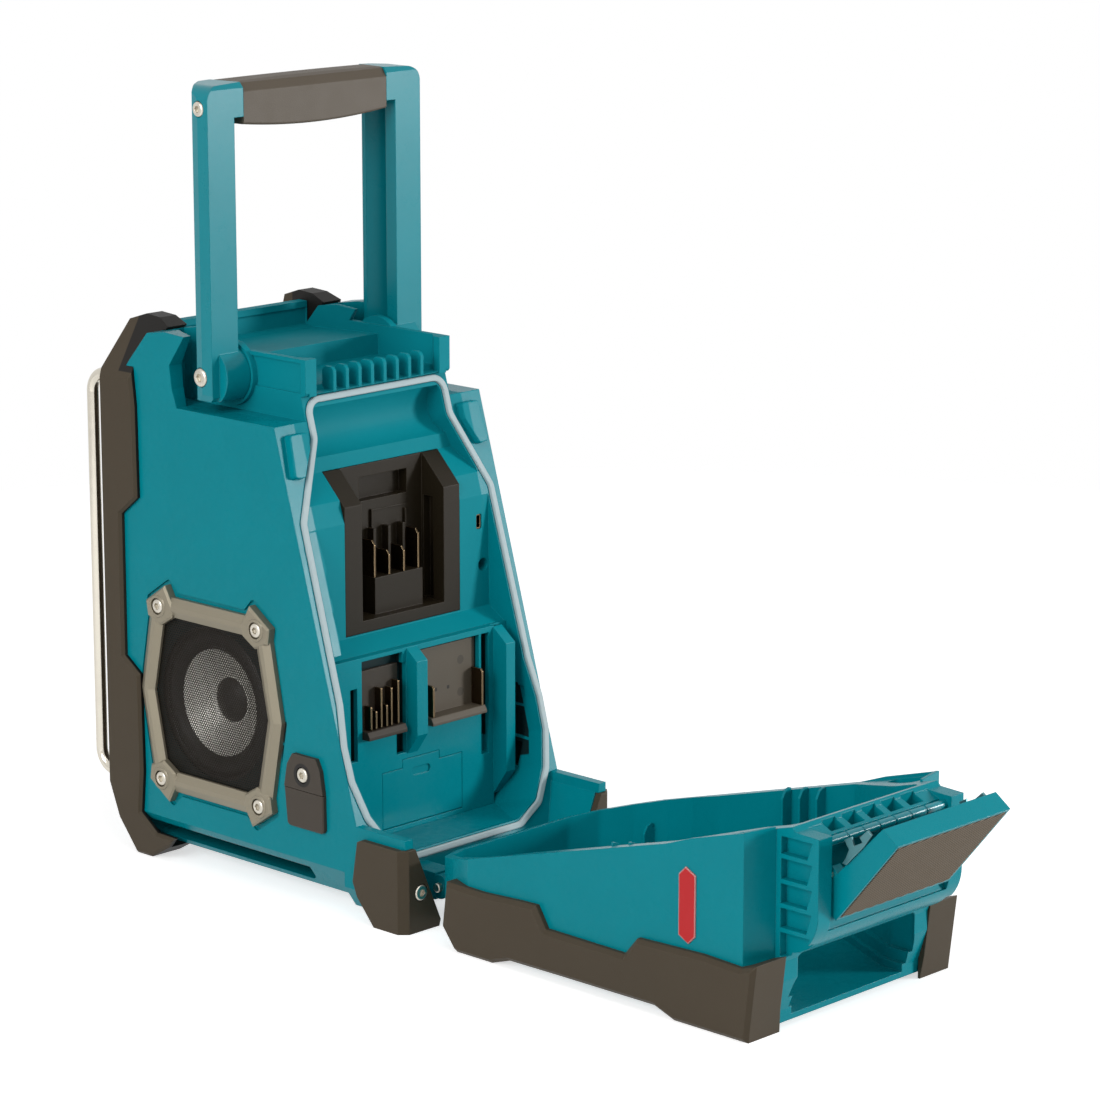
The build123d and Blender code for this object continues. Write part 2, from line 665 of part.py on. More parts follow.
with BuildPart() as battery_deck:
    with BuildSketch(cross(DECK_Y)):
        with Locations((0, 80)):
            Rectangle(160, 102.2)
    extrude(amount=4.9)
    # openings for the terminals, and the dark slots beside them
    with BuildSketch(cross(DECK_Y + 1)):
        with Locations((30, 107.5)):
            Rectangle(30, 43)
        with Locations((16.2, 98)):
            Rectangle(7.2, 50)
        with Locations((-20.5, 106.5)):
            Rectangle(45, 43)
        with Locations((-47.6, 94)):
            Rectangle(6, 68)
        with Locations((51, 95)):
            Rectangle(5, 40)
    extrude(amount=7, mode=Mode.SUBTRACT)
    # recess of the backup cell cover
    with BuildSketch(cross(DECK_Y)):
        with Locations((sum(BACKUP_X) / 2, (BACKUP_TOP + 33) / 2)):
            Rectangle(BACKUP_X[1] - BACKUP_X[0] + 0.6, BACKUP_TOP - 33 + 0.6)
        with Locations((sum(BACKUP_TAB) / 2, BACKUP_TOP)):
            Rectangle(BACKUP_TAB[1] - BACKUP_TAB[0] + 0.6, 2 * (BACKUP_TAB_TOP - BACKUP_TOP) + 0.6)
    extrude(amount=3, mode=Mode.SUBTRACT)
    with BuildSketch(cross(DECK_Y - 3)):
        with Locations((0.5, 48)):
            Rectangle(52, 24)
    extrude(amount=1.4, mode=Mode.SUBTRACT)
    # corner where the deck stops short of the far wall
    with BuildSketch(cross(DECK_Y)):
        with Locations((-64.5, 80)):
            Rectangle(20, 104)
    extrude(amount=3, mode=Mode.SUBTRACT)
    add(slide_rail(4, 12, -50, 72, 130.5))
    add(slide_rail(-61, -54, -48, 36, 130.5))
    add(bay_space.part, mode=Mode.INTERSECT)

with BuildPart() as backup_cell_cover:
    with BuildSketch(cross(DECK_Y - 0.1)):
        with Locations((sum(BACKUP_X) / 2, (BACKUP_TOP + 33.2) / 2)):
            Rectangle(BACKUP_X[1] - BACKUP_X[0], BACKUP_TOP - 33.2)
        with Locations((sum(BACKUP_TAB) / 2, BACKUP_TOP)):
            Rectangle(BACKUP_TAB[1] - BACKUP_TAB[0], 2 * (BACKUP_TAB_TOP - BACKUP_TOP))
    extrude(amount=2.4)
    # thumb hollow under the tab
    with BuildSketch(cross(DECK_Y)):
        with Locations((sum(BACKUP_TAB) / 2, 61)):
            SlotOverall(14, 4.5)
    extrude(amount=0.9, mode=Mode.SUBTRACT)

MOUNT_X = (-44.5, 41.0)
MOUNT_Z = (139.0, 226.2)
with BuildPart() as tool_battery_mount:
    with BuildSketch(side(MOUNT_X[0])):
        with BuildLine():
            Polyline(
                (-100.6, MOUNT_Z[0]), (UPPER_DECK_Y, MOUNT_Z[0]), (UPPER_DECK_Y, UPPER_DECK_TOP),
                (UPPER_BACK_Y + 0.4, MOUNT_Z[1]), (-100.6, MOUNT_Z[1]), close=True,
            )
        make_face()
    extrude(amount=MOUNT_X[1] - MOUNT_X[0])
    # slide channel, open at the top
    with BuildSketch(cross(UPPER_DECK_Y + 1)):
        with Locations((-2, 190)):
            Rectangle(61, 89)
    extrude(amount=UPPER_DECK_Y + 1 - UPPER_BACK_Y, mode=Mode.SUBTRACT)
    # undercut grooves in both rails
    with BuildSketch(level(146)):
        with Locations((-2, -86)):
            Rectangle(71, 7.5)
    extrude(amount=57, mode=Mode.SUBTRACT)
    # latch window for the battery
    with BuildSketch(cross(UPPER_BACK_Y)):
        with Locations((-3.4, 212.6)):
            Rectangle(35.5, 13.2)
    extrude(amount=6, mode=Mode.SUBTRACT)
    # terminal carrier with its sockets
    with BuildSketch(cross(-80)):
        with Locations((-4.2, 154.8)):
            Rectangle(35.6, 21.8)
    extrude(amount=12)
    with BuildSketch(side(MOUNT_X[0] + 12)):
        with BuildLine():
            Polyline((-92, 139), (-77, 139), (-77, 143), (-80, 145.5), (-92, 145.5), close=True)
        make_face()
    extrude(amount=61)
    # ribs beside the blades
    for x in (7.8, -3.2, -14.0):
        with BuildSketch(cross(UPPER_BACK_Y + 5)):
            with Locations((x, 177)):
                Rectangle(1.8, 28)
        extrude(amount=6)

BLADES = [(13.0, 186.0), (2.2, 179.0), (-8.8, 179.5), (-19.6, 187.5)]
with BuildPart() as mount_terminals:
    for x, top in BLADES:
        with BuildSketch(side(x - 0.5)):
            with BuildLine():
                Polyline(
                    (UPPER_BACK_Y + 0.05, 165.8), (-80.6, 165.8), (-80.6, top - 2.5), (-82.6, top),
                    (UPPER_BACK_Y + 0.05, top), close=True,
                )
            make_face()
        extrude(amount=1.0)

with BuildPart() as small_terminal_block:
    with BuildSketch(cross(-60.5)):
        with Locations((30, 105.5)):
            Rectangle(27, 35)
    extrude(amount=2.3)
    with BuildSketch(side(16.5)):
        with BuildLine():
            Polyline((-62, 86.2), (-53, 86.2), (-53, 88), (-54.5, 90.6), (-62, 90.6), close=True)
        make_face()
    extrude(amount=28)

with BuildPart() as small_terminals:
    for x, top in ((40.5, 104), (36.8, 101), (33, 113), (29, 103), (25.5, 112), (20.5, 115)):
        with BuildSketch(side(x - 0.5)):
            with Locations((-57.9, (top + 90.7) / 2)):
                RectangleRounded(5, top - 90.7, 0.8)
        extrude(amount=1.0)

with BuildPart() as large_terminal_block:
    with BuildSketch(cross(-61.2)):
        with Locations((-20.5, 106)):
            Rectangle(44, 41)
    extrude(amount=1.6)
    with BuildSketch(side(-42.5)):
        with BuildLine():
            Polyline((-62, 85.5), (-51.5, 85.5), (-51.5, 87), (-53, 89.6), (-62, 89.6), close=True)
        make_face()
    extrude(amount=41)

with BuildPart() as large_terminals:
    for x, depth, top in ((-4.2, 7.5, 107), (-40.8, 8.0, 110)):
        with BuildSketch(side(x - 0.6)):
            with BuildLine():
                Polyline(
                    (-61.1, 89.7), (-61.1 + depth, 89.7), (-61.1 + depth, top - 1.5),
                    (-62.1 + depth, top), (-61.1, top), close=True,
                )
            make_face()
        extrude(amount=1.2)

with BuildPart() as bay_seal:
    with BuildSketch(slope(-1.15)):
        add(seal_band)
    extrude(amount=-(SEAL_HEIGHT + 1.15))
    top_edges = bay_seal.faces().sort_by(Axis((0, 0, 0), (0, cos(LEAN), sin(LEAN))))[-1].edges()
    fillet(top_edges, radius=0.7)

with BuildPart() as usb_port:
    with BuildSketch(cross(UPPER_DECK_Y - 0.6)):
        with Locations((-59.5, 186)):
            RectangleRounded(4.0, 8.2, 1.1)
            RectangleRounded(2.6, 6.8, 0.8, mode=Mode.SUBTRACT)
    extrude(amount=8)
    with BuildSketch(cross(UPPER_DECK_Y - 6)):
        with Locations((-59.5, 186)):
            RectangleRounded(4.0, 8.2, 1.1)
    extrude(amount=2.6)

# ---------------------------------------------------------------------------
# Direct-current inlet with its rubber cover
# ---------------------------------------------------------------------------
COVER_FOLD_Z = 63.0
COVER_BACK = HALF_WIDTH + 0.1
COVER_FRONT = HALF_WIDTH + 2.8
with BuildPart() as dc_cover_tab:
    with BuildSketch(side(COVER_BACK)):
        with BuildLine():
            Polyline(
                (-83, COVER_FOLD_Z + 0.2), (-80.6, 76), (-76.5, 82.2), (-58.6, 82.2), (-55.4, 76),
                (-53.3, COVER_FOLD_Z + 0.2), close=True,
            )
        make_face()
        with Locations((-69, 71.5)):
            Circle(1.7, mode=Mode.SUBTRACT)
    extrude(amount=COVER_FRONT - COVER_BACK)
    with BuildSketch(side(COVER_FRONT)):
        with Locations((-69, 71.5)):
            Circle(4.4)
    extrude(amount=-1.6, mode=Mode.SUBTRACT)

with BuildPart() as dc_cover_door:
    with BuildSketch(side(COVER_BACK)):
        with BuildLine():
            FilletPolyline(
                (-83.2, COVER_FOLD_Z - 0.2), (-81.2, 42), (-53, 42), (-53.3, COVER_FOLD_Z - 0.2),
                radius=[0, 2.5, 2.5, 0], close=True,
            )
        make_face()
    extrude(amount=COVER_FRONT - COVER_BACK)
    outer = dc_cover_door.faces().sort_by(Axis.X)[-1]
    chamfer(outer.edges().sort_by(Axis.Z)[:-1], length=0.7)
    # plug that seals the inlet
    with BuildSketch(side(COVER_BACK)):
        with Locations((JACK_Y, JACK_Z)):
            Circle(4.2)
    extrude(amount=-2.6)

with BuildPart() as dc_cover_screw:
    seat = Plane(origin=(COVER_FRONT - 1.6, Y_ORIGIN - 69, 71.5), x_dir=(0, 1, 0), z_dir=(1, 0, 0))
    add(socket_screw(seat, 4.1, 2.0, 1.5, 1.1))

with BuildPart() as dc_jack:
    with BuildSketch(side(60)):
        with Locations((JACK_Y, JACK_Z)):
            RectangleRounded(15, 15.6, 2.8)
    extrude(amount=10)
    with BuildSketch(side(70)):
        with Locations((JACK_Y, JACK_Z)):
            Circle(3.2)
            Circle(1.1, mode=Mode.SUBTRACT)
    extrude(amount=-8, mode=Mode.SUBTRACT)

# ---------------------------------------------------------------------------
# Battery lid, modelled open, lying on the floor behind the radio
# ---------------------------------------------------------------------------
LID_END_Y = 240.0            # end wall of the lid tub
NECK_FRONT = 266.4
BRACKET_X = 45.5             # inner faces of the latch brackets
NECK_TOP = 102.0
SHELF_Z = 36.5
SKIN = 1.5                   # skin that stands above the sealing land
ROD_Y = 261.7
ROD_Z = 97.3
ROD_RADIUS = 2.4
LATCH_POCKET_Y = 258.8


def rim_z(y):
    """Height of the sealing land at y."""
    return RIM_BASE + RIM_SLOPE * y


def both_sides(points):
    """Closed outline from its right half, mirrored about the centre plane."""
    return points + [(-x, y) for x, y in reversed(points)]


LID_TRAVEL = 90.7            # degrees from lying open to shut
LID_AXIS = Axis((0, Y_ORIGIN, HINGE_Z), (1, 0, 0))
LID_PLAN = [(41, 8.6), (58.5, 17.5), (68.5, 33.5), (LID_HALF, 50), (LID_HALF, 236), (56, LID_END_Y)]
CAVITY_CORNERS = [(x, z - HINGE_Z) for x, z in reversed(SEAL_CORNERS)]

with BuildPart() as lid:
    # tub: outer walls in plan, trimmed by the sloping sealing plane
    with BuildSketch(level(LID_FLOOR)):
        with BuildLine():
            Polyline(both_sides(LID_PLAN), close=True)
        make_face()
    extrude(amount=110)
    with BuildSketch(side(-90)):
        with BuildLine():
            Polyline(
                (8, 8), (13, LID_FLOOR), (LID_END_Y + 2, LID_FLOOR),
                (LID_END_Y + 2, rim_z(LID_END_Y + 2)), (8, rim_z(8)), close=True,
            )
        make_face()
    extrude(amount=180, mode=Mode.INTERSECT)
    # bevels along the lower side edges
    for s in (-1, 1):
        with BuildSketch(cross(LID_END_Y + 5)):
            with BuildLine():
                Polyline(
                    (s * 68, LID_FLOOR - 1), (s * 68, LID_FLOOR), (s * LID_HALF, 11),
                    (s * 80, 11), (s * 80, LID_FLOOR - 1), close=True,
                )
            make_face()
        extrude(amount=LID_END_Y, mode=Mode.SUBTRACT)
    # neck that carries the latch, with its rounded underside and shelf
    with BuildSketch(side(-NECK_HALF)):
        with BuildLine():
            Polyline((222, LID_FLOOR), (238, LID_FLOOR), (245.5, 26.5), (245.5, SHELF_Z), (247, 40.5))
            ThreePointArc((247, 40.5), (261, 48.5), (NECK_FRONT, 64))
            Polyline(
                (NECK_FRONT, 64), (NECK_FRONT, NECK_TOP), (252, NECK_TOP + 0.6), (249.6, rim_z(249.6)),
                (222, rim_z(222)), (222, LID_FLOOR),
            )
        make_face()
    extrude(amount=2 * NECK_HALF)
    # thin skin beyond the sealing land, it closes the joint outside the seal
    for s in (-1, 1):
        with BuildSketch(side(s * LID_HALF)):
            with BuildLine():
                Polyline(
                    (186, rim_z(186) - 1), (186, rim_z(186)), (202, rim_z(202) + 1.6),
                    (236, rim_z(236) + 2), (236, rim_z(236) - 1), close=True,
                )
            make_face()
        extrude(amount=-s * SKIN)
        with BuildSketch(level(rim_z(236) - 2)):
            with BuildLine():
                Polyline(
                    (s * LID_HALF, 236), (s * 56, LID_END_Y), (s * 56, LID_END_Y - 1.6),
                    (s * (LID_HALF - SKIN), 234.5), close=True,
                )
            make_face()
        extrude(amount=4)
    # inside of the tub, following the seal, with a stepped foot all round
    for inset, bottom in ((2, 16), (5, 10), (7.5, LID_FLOOR + 3)):
        with BuildSketch(level(bottom)):
            with BuildLine():
                FilletPolyline(*both_sides(CAVITY_CORNERS), radius=SEAL_ROUND, close=True)
            make_face()
            offset(amount=-inset, mode=Mode.REPLACE)
        extrude(amount=120, mode=Mode.SUBTRACT)
    # guide fins on the inner side walls
    for s in (-1, 1):
        for y, top in ((48.5, 38), (145, 77.5), (156.5, 80), (168, 82)):
            with BuildSketch(cross(y)):
                with BuildLine():
                    Polyline(
                        (s * 70.5, 4), (s * 61, 4), (s * 61, top - 5), (s * 63.5, top - 1),
                        (s * 66, top), (s * 67.4, top), (s * 67.8, top - 3), (s * 70.5, top - 3),
                        close=True,
                    )
                make_face()
            extrude(amount=1.6)
    # pockets for the corner pads of the body, cut as they lie when the lid is shut
    with BuildPart(mode=Mode.PRIVATE) as pad_room:
        with BuildSketch(slope(PAD_HEIGHT + 1.5)):
            with BuildLine():
                FilletPolyline(*[(x, up_face(z)) for x, z in PAD_CORNERS], radius=2.4, close=True)
            make_face()
            offset(amount=0.45, mode=Mode.REPLACE)
        extrude(amount=9)
        mirror(about=Plane.YZ)
    add(pad_room.part.rotate(LID_AXIS, -LID_TRAVEL), mode=Mode.SUBTRACT)
    # stepped latch deck between the brackets
    with BuildSketch(side(-BRACKET_X)):
        with BuildLine():
            Polyline(
                (251.5, 120), (251.5, 102.6), (LATCH_POCKET_Y, 99.4), (LATCH_POCKET_Y, 70),
                (263, 54), (270, 54), (270, 120), close=True,
            )
        make_face()
    extrude(amount=2 * BRACKET_X, mode=Mode.SUBTRACT)
    with BuildSketch(level(106)):
        with Locations([(x, 253.8) for x in (-30, -15, 0, 15, 30)]):
            Rectangle(10.4, 6.8)
    extrude(amount=-13, mode=Mode.SUBTRACT)
    # openings beside the web under the latch
    for s in (-1, 1):
        with BuildSketch(side(s * 37)):
            with BuildLine():
                Polyline((251, 46.5), (256, 49.5), (261, 56), (262, 70), (251, 70), close=True)
            make_face()
        extrude(amount=s * (BRACKET_X - 37), mode=Mode.SUBTRACT)
    # ladder of ribs in the outer side of each bracket
    for s in (-1, 1):
        for z0, z1 in ((39, 51.2), (53.4, 63.4), (65.6, 75.6), (77.8, 88.2), (90.4, 99.2)):
            front = min(262.2, 249 + (z1 - 36) * 0.8)
            with BuildSketch(side(s * NECK_HALF)):
                with BuildLine():
                    Polyline((243, z0), (front - 3, z0), (front, z1), (243, z1), close=True)
                make_face()
            extrude(amount=-s * 4.6, mode=Mode.SUBTRACT)
    # bores of the rod and of the latch pin
    with BuildSketch(side(-51)):
        with Locations((ROD_Y, ROD_Z)):
            Circle(ROD_RADIUS + 0.02)
        with Locations((LATCH_Y, LATCH_Z)):
            Circle(LATCH_PIN_RADIUS + 0.02)
    extrude(amount=102, mode=Mode.SUBTRACT)
    # hinge knuckles between the lugs of the body
    for x in (-32.0, 7.0):
        with BuildSketch(side(x)):
            with BuildLine():
                Polyline((0, HINGE_Z - 6), (10, 10), (10, 24.6), (0, HINGE_Z + 6), close=True)
            make_face()
            with Locations((0, HINGE_Z)):
                Circle(6)
        extrude(amount=25)
    with BuildSketch(side(-34)):
        with Locations((0, HINGE_Z)):
            Circle(HINGE_RADIUS + FIT)
    extrude(amount=68, mode=Mode.SUBTRACT)

LID_BUMPER_TOP = [
    (34.4, 11.9), (37.6, 36.2), (63.6, 35.7), (89.8, 37.2), (100.9, 37.5), (107.9, 26.5), (161.4, 26),
    (170, 36.2), (212, 37.6), (237.5, 36.6), (247.2, 39.8),
]
LID_BUMPER_FOOT = [
    (242.4, 0), (194.6, 0), (181.5, 4.6), (117, 4.4), (82.7, 4.1), (70, 0), (45, 0), (43, 1.1),
]
LID_BUMPER_OUTER = 79.2

with BuildPart() as right_lid_bumper:
    with BuildSketch(side(53)):
        with BuildLine():
            Polyline(LID_BUMPER_TOP + LID_BUMPER_FOOT, close=True)
        make_face()
    extrude(amount=LID_BUMPER_OUTER - 53)
    outer_face = right_lid_bumper.faces().sort_by(Axis.X)[-1]
    chamfer(outer_face.edges(), length=2.2)
    # only the end piece reaches inward past the side wall
    with BuildSketch(level(-1)):
        with BuildLine():
            Polyline((50, 30), (66, 30), (62, 60), (62, 236), (53.5, 241.5), (50, 241.5), close=True)
        make_face()
    extrude(amount=50, mode=Mode.SUBTRACT)
    # room for the lid
    with BuildSketch(level(LID_FLOOR - EPS)):
        with BuildLine():
            Polyline(both_sides(LID_PLAN), close=True)
        make_face()
        offset(amount=EPS, mode=Mode.REPLACE)
    extrude(amount=60, mode=Mode.SUBTRACT)
    with BuildSketch(cross(260)):
        with BuildLine():
            Polyline((50, -1), (54, -1), (NECK_HALF + EPS, 12), (NECK_HALF + EPS, 60), (50, 60), close=True)
        make_face()
    extrude(amount=60, mode=Mode.SUBTRACT)

with BuildPart() as left_lid_bumper:
    mirror(right_lid_bumper.part, about=Plane.YZ)

BADGE = [(195, 74.5), (199.5, 79), (206, 75.5), (206, 44.5), (201.5, 40), (195, 43.5)]
with BuildPart() as lid_badges:
    with BuildSketch(side(LID_HALF + 0.02)):
        with BuildLine():
            Polyline(BADGE, close=True)
        make_face()
    extrude(amount=0.8)
    chamfer(lid_badges.faces().sort_by(Axis.X)[-1].edges(), length=0.3)
    mirror(about=Plane.YZ)

# ---------------------------------------------------------------------------
# Latch on the lid's end
# ---------------------------------------------------------------------------
FLAP_HALF = 43.3
EAR_INNER = 37.0
FLAP_TOP = (304.3, 104.1)
FLAP_LOW = (267.5, 59.5)
FLAP_PROFILE = [
    (295.2, 110.8), FLAP_TOP, FLAP_LOW, (263.8, 62.6), (260.7, 80.6), (261.4, 84.6), (264.5, 86.2),
    (268, 83),
]
flap_plane = Plane(
    origin=(0, Y_ORIGIN + (FLAP_TOP[0] + FLAP_LOW[0]) / 2, (FLAP_TOP[1] + FLAP_LOW[1]) / 2),
    x_dir=(1, 0, 0),
    z_dir=(0, FLAP_TOP[1] - FLAP_LOW[1], FLAP_LOW[0] - FLAP_TOP[0]),
)
FLAP_LENGTH = ((FLAP_TOP[0] - FLAP_LOW[0]) ** 2 + (FLAP_TOP[1] - FLAP_LOW[1]) ** 2) ** 0.5

with BuildPart() as latch_flap:
    with BuildSketch(side(-FLAP_HALF)):
        with BuildLine():
            Polyline(FLAP_PROFILE, close=True)
        make_face()
    extrude(amount=2 * FLAP_HALF)
    # hollow between the two ears
    with BuildSketch(side(-EAR_INNER)):
        with BuildLine():
            Polyline(
                (297.8, 102.4), (266.9, 64.9), (266.5, 69), (258, 69), (258, 90), (280, 120),
                (290.5, 109.5), close=True,
            )
        make_face()
    extrude(amount=2 * EAR_INNER, mode=Mode.SUBTRACT)
    # stiffening ribs behind the plate
    for x in (-20, 0, 20):
        with BuildSketch(side(x - 0.9)):
            with BuildLine():
                Polyline((297.8, 102), (267.5, 65.4), (272, 76), (292, 106.5), close=True)
            make_face()
        extrude(amount=1.8)
    # recess of the pad
    with BuildSketch(flap_plane):
        Rectangle(2 * FLAP_HALF - 3.2, FLAP_LENGTH - 3.2)
    extrude(amount=-0.7, mode=Mode.SUBTRACT)
    with BuildSketch(side(-FLAP_HALF - 1)):
        with Locations((LATCH_Y, LATCH_Z)):
            Circle(LATCH_PIN_RADIUS + FIT)
    extrude(amount=2 * FLAP_HALF + 2, mode=Mode.SUBTRACT)

PAD_RIBS = 18
with BuildPart() as latch_pad:
    with BuildSketch(flap_plane.offset(-0.65)):
        Rectangle(2 * FLAP_HALF - 3.4, FLAP_LENGTH - 3.4)
    extrude(amount=0.95)
    with BuildSketch(flap_plane.offset(0.3)):
        with GridLocations(1, (FLAP_LENGTH - 5) / PAD_RIBS, 1, PAD_RIBS):
            Rectangle(2 * FLAP_HALF - 4.6, 1.3)
    extrude(amount=0.5)

with BuildPart() as latch_links:
    with BuildSketch(side(FLAP_HALF + 0.05)):
        with BuildLine():
            Polyline(
                (271.9, 89.3), (274, 92.7), (275.8, 96.9), (272.9, 101.2), (277, 103.5), (278.7, 99.3),
                (283.9, 102.1), (282.2, 104.3), (286.9, 108.7), (289.5, 106.7), (284.4, 99.7),
                (274.1, 88.9), close=True,
            )
        make_face()
    extrude(amount=1.2)
    mirror(about=Plane.YZ)

with BuildPart() as latch_pin:
    with BuildSketch(side(-50)):
        with Locations((LATCH_Y, LATCH_Z)):
            Circle(LATCH_PIN_RADIUS)
    extrude(amount=100)
    chamfer(latch_pin.edges().filter_by(GeomType.CIRCLE), length=0.3)

with BuildPart() as latch_rod:
    with BuildSketch(side(-50)):
        with Locations((ROD_Y, ROD_Z)):
            Circle(ROD_RADIUS)
    extrude(amount=100)
    for x in (-30, -18, -6, 6, 18, 30):
        with BuildSketch(side(x - 0.6)):
            with Locations((ROD_Y, ROD_Z)):
                Circle(ROD_RADIUS + 1)
                Circle(ROD_RADIUS - 0.5, mode=Mode.SUBTRACT)
        extrude(amount=1.2, mode=Mode.SUBTRACT)

with BuildPart() as hinge_pin:
    with BuildSketch(side(-48)):
        with Locations((0, HINGE_Z)):
            Circle(HINGE_RADIUS)
    extrude(amount=96)
    chamfer(hinge_pin.edges().filter_by(GeomType.CIRCLE), length=0.5)

# ---------------------------------------------------------------------------
# Carrying handle
# ---------------------------------------------------------------------------
ARM_REAR = -136.0
ARM_FRONT_IN = -162.7
ARM_FRONT_OUT = -149.5
ARM_LOW = 262.3
CORE_Y, CORE_Z = -148.5, 418.6  # square steel core inside the grip
CORE_SIZE = (16.0, 13.0)
CORE_HALF = 62.0

ARM_TOP = 430.2
ARM_CORNER = 8.0             # rounding of the arm's top corner
STUB_LOW = 412.0             # underside of the stub that meets the grip
STUB_END = (52.0, 54.6)      # the joint with the grip runs askew, rear and front x
FOOT_RADIUS = 16.0           # round foot about the pivot
FOOT_X = (56.1, 72.2)

with BuildPart() as right_handle_arm:
    # upright, with a flatter band along the outer face
    with BuildSketch(level(ARM_LOW)):
        with BuildLine():
            Polyline(
                (ARM_OUTER, ARM_REAR), (ARM_OUTER, -144), (ARM_OUTER - 1.3, ARM_FRONT_OUT),
                (ARM_INNER, ARM_FRONT_IN), (ARM_INNER, ARM_REAR), close=True,
            )
        make_face()
    extrude(amount=ARM_TOP - ARM_LOW)
    # stub that turns inward to the grip
    with BuildSketch(level(STUB_LOW)):
        with BuildLine():
            Polyline(
                (62, ARM_REAR), (62, -160.5), (ARM_INNER, ARM_FRONT_IN), (STUB_END[1], ARM_FRONT_IN),
                (STUB_END[0], ARM_REAR), close=True,
            )
        make_face()
    extrude(amount=ARM_TOP - STUB_LOW)
    # slanted foot and rounded top corner, seen from behind
    with BuildSketch(cross(-120)):
        with BuildLine():
            Polyline(
                (STUB_END[0] - 2, 255), (74, 255), (ARM_OUTER, 266), (ARM_OUTER, ARM_TOP - ARM_CORNER - 1),
            )
            TangentArc(
                (ARM_OUTER, ARM_TOP - ARM_CORNER - 1), (ARM_OUTER - ARM_CORNER, ARM_TOP - 0.8), tangent=(0, 1)
            )
            Polyline(
                (ARM_OUTER - ARM_CORNER, ARM_TOP - 0.8), (STUB_END[0] - 2, ARM_TOP), (STUB_END[0] - 2, 255)
            )
        make_face()
    extrude(amount=60, mode=Mode.INTERSECT)
    # ends of the foot and of the top, seen from the side
    with BuildSketch(side(50)):
        with BuildLine():
            Polyline(
                (-163, ARM_TOP - 3.5), (-163, 268), (-157, ARM_LOW), (-138.6, ARM_LOW), (ARM_REAR, 264.6),
                (ARM_REAR, ARM_TOP - 3), (ARM_REAR - 2.5, ARM_TOP), (-159.5, ARM_TOP), close=True,
            )
        make_face()
    extrude(amount=40, mode=Mode.INTERSECT)
    # channel on the inner side
    with BuildSketch(level(289)):
        with BuildLine():
            Polyline((54, -143.9), (73.6, -143.9), (73.6, -149.4), (58.8, -159.8), (54, -159.8), close=True)
        make_face()
    extrude(amount=119, mode=Mode.SUBTRACT)
    # half-round drum behind the foot, about the pivot
    with BuildSketch(side(FOOT_X[0])):
        with Locations((PIVOT_Y, PIVOT_Z)):
            Circle(FOOT_RADIUS)
        with Locations((PIVOT_Y - 15, PIVOT_Z)):
            Rectangle(30, 40, mode=Mode.SUBTRACT)
        with Locations((PIVOT_Y, ARM_LOW - 10)):
            Rectangle(40, 20, mode=Mode.SUBTRACT)
    extrude(amount=FOOT_X[1] - FOOT_X[0])
    with BuildSketch(side(50)):
        with Locations((PIVOT_Y, PIVOT_Z)):
            Circle(PIVOT_RADIUS + FIT)
    extrude(amount=30, mode=Mode.SUBTRACT)
    # counterbores for the pivot screw and the grip screw
    with BuildSketch(side(ARM_OUTER)):
        with Locations((PIVOT_Y, PIVOT_Z)):
            Circle(5.4)
        with Locations((-143.4, 417.4)):
            Circle(4.4)
    extrude(amount=-1.8, mode=Mode.SUBTRACT)
    with BuildSketch(side(ARM_OUTER)):
        with Locations((-143.4, 417.4)):
            Circle(1.9)
    extrude(amount=-25, mode=Mode.SUBTRACT)
    # seat of the square core in the stub
    with BuildSketch(side(STUB_END[0] - 2)):
        with Locations((CORE_Y, CORE_Z)):
            RectangleRounded(CORE_SIZE[0] + 0.3, CORE_SIZE[1] + 0.3, 2.1)
    extrude(amount=CORE_HALF + 0.15 - STUB_END[0] + 2, mode=Mode.SUBTRACT)

with BuildPart() as left_handle_arm:
    mirror(right_handle_arm.part, about=Plane.YZ)

GRIP_SECTION = [
    (-136, 404), (-136, 425), (-139, 429.5), (-144, GRIP_TOP), (-156, GRIP_TOP), (-161.5, 427),
    (-163.5, 421), (-163, 404),
]
GRIP_SAG = 3.6               # the underside hangs lower at mid length
with BuildPart() as handle_grip:
    with BuildSketch(side(-60)):
        with BuildLine():
            Polyline(GRIP_SECTION, close=True)
        make_face()
    extrude(amount=120)
    # crowned top and hanging belly, seen from behind
    with BuildSketch(cross(-130)):
        with BuildLine():
            ThreePointArc((-60, 408.9), (0, 408.4 - GRIP_SAG), (60, 408.9))
            Polyline((60, 408.9), (60, GRIP_TOP - 0.5))
            ThreePointArc((60, GRIP_TOP - 0.5), (0, GRIP_TOP), (-60, GRIP_TOP - 0.5))
            Polyline((-60, GRIP_TOP - 0.5), (-60, 408.9))
        make_face()
    extrude(amount=40, mode=Mode.INTERSECT)
    fillet(handle_grip.edges().filter_by(lambda e: e.length > 100), radius=1.5)
    # both ends are cut askew, along the stubs of the arms
    with BuildSketch(level(400)):
        with BuildLine():
            Polyline(
                (STUB_END[0] - 0.25, ARM_REAR + 2), (STUB_END[1] + 0.15, ARM_FRONT_IN - 2),
                (-STUB_END[1] - 0.15, ARM_FRONT_IN - 2), (-STUB_END[0] + 0.25, ARM_REAR + 2), close=True,
            )
        make_face()
    extrude(amount=40, mode=Mode.INTERSECT)
    # square core passes through the grip
    with BuildSketch(side(-60)):
        with Locations((CORE_Y, CORE_Z)):
            RectangleRounded(CORE_SIZE[0] + 0.3, CORE_SIZE[1] + 0.3, 2.1)
    extrude(amount=120, mode=Mode.SUBTRACT)

with BuildPart() as handle_core:
    with BuildSketch(side(-CORE_HALF)):
        with Locations((CORE_Y, CORE_Z)):
            RectangleRounded(*CORE_SIZE, 2)
    extrude(amount=2 * CORE_HALF)
    for s in (-1, 1):
        with BuildSketch(side(s * CORE_HALF)):
            with Locations((-143.4, 417.4)):
                Circle(1.6)
        extrude(amount=-s * 15, mode=Mode.SUBTRACT)

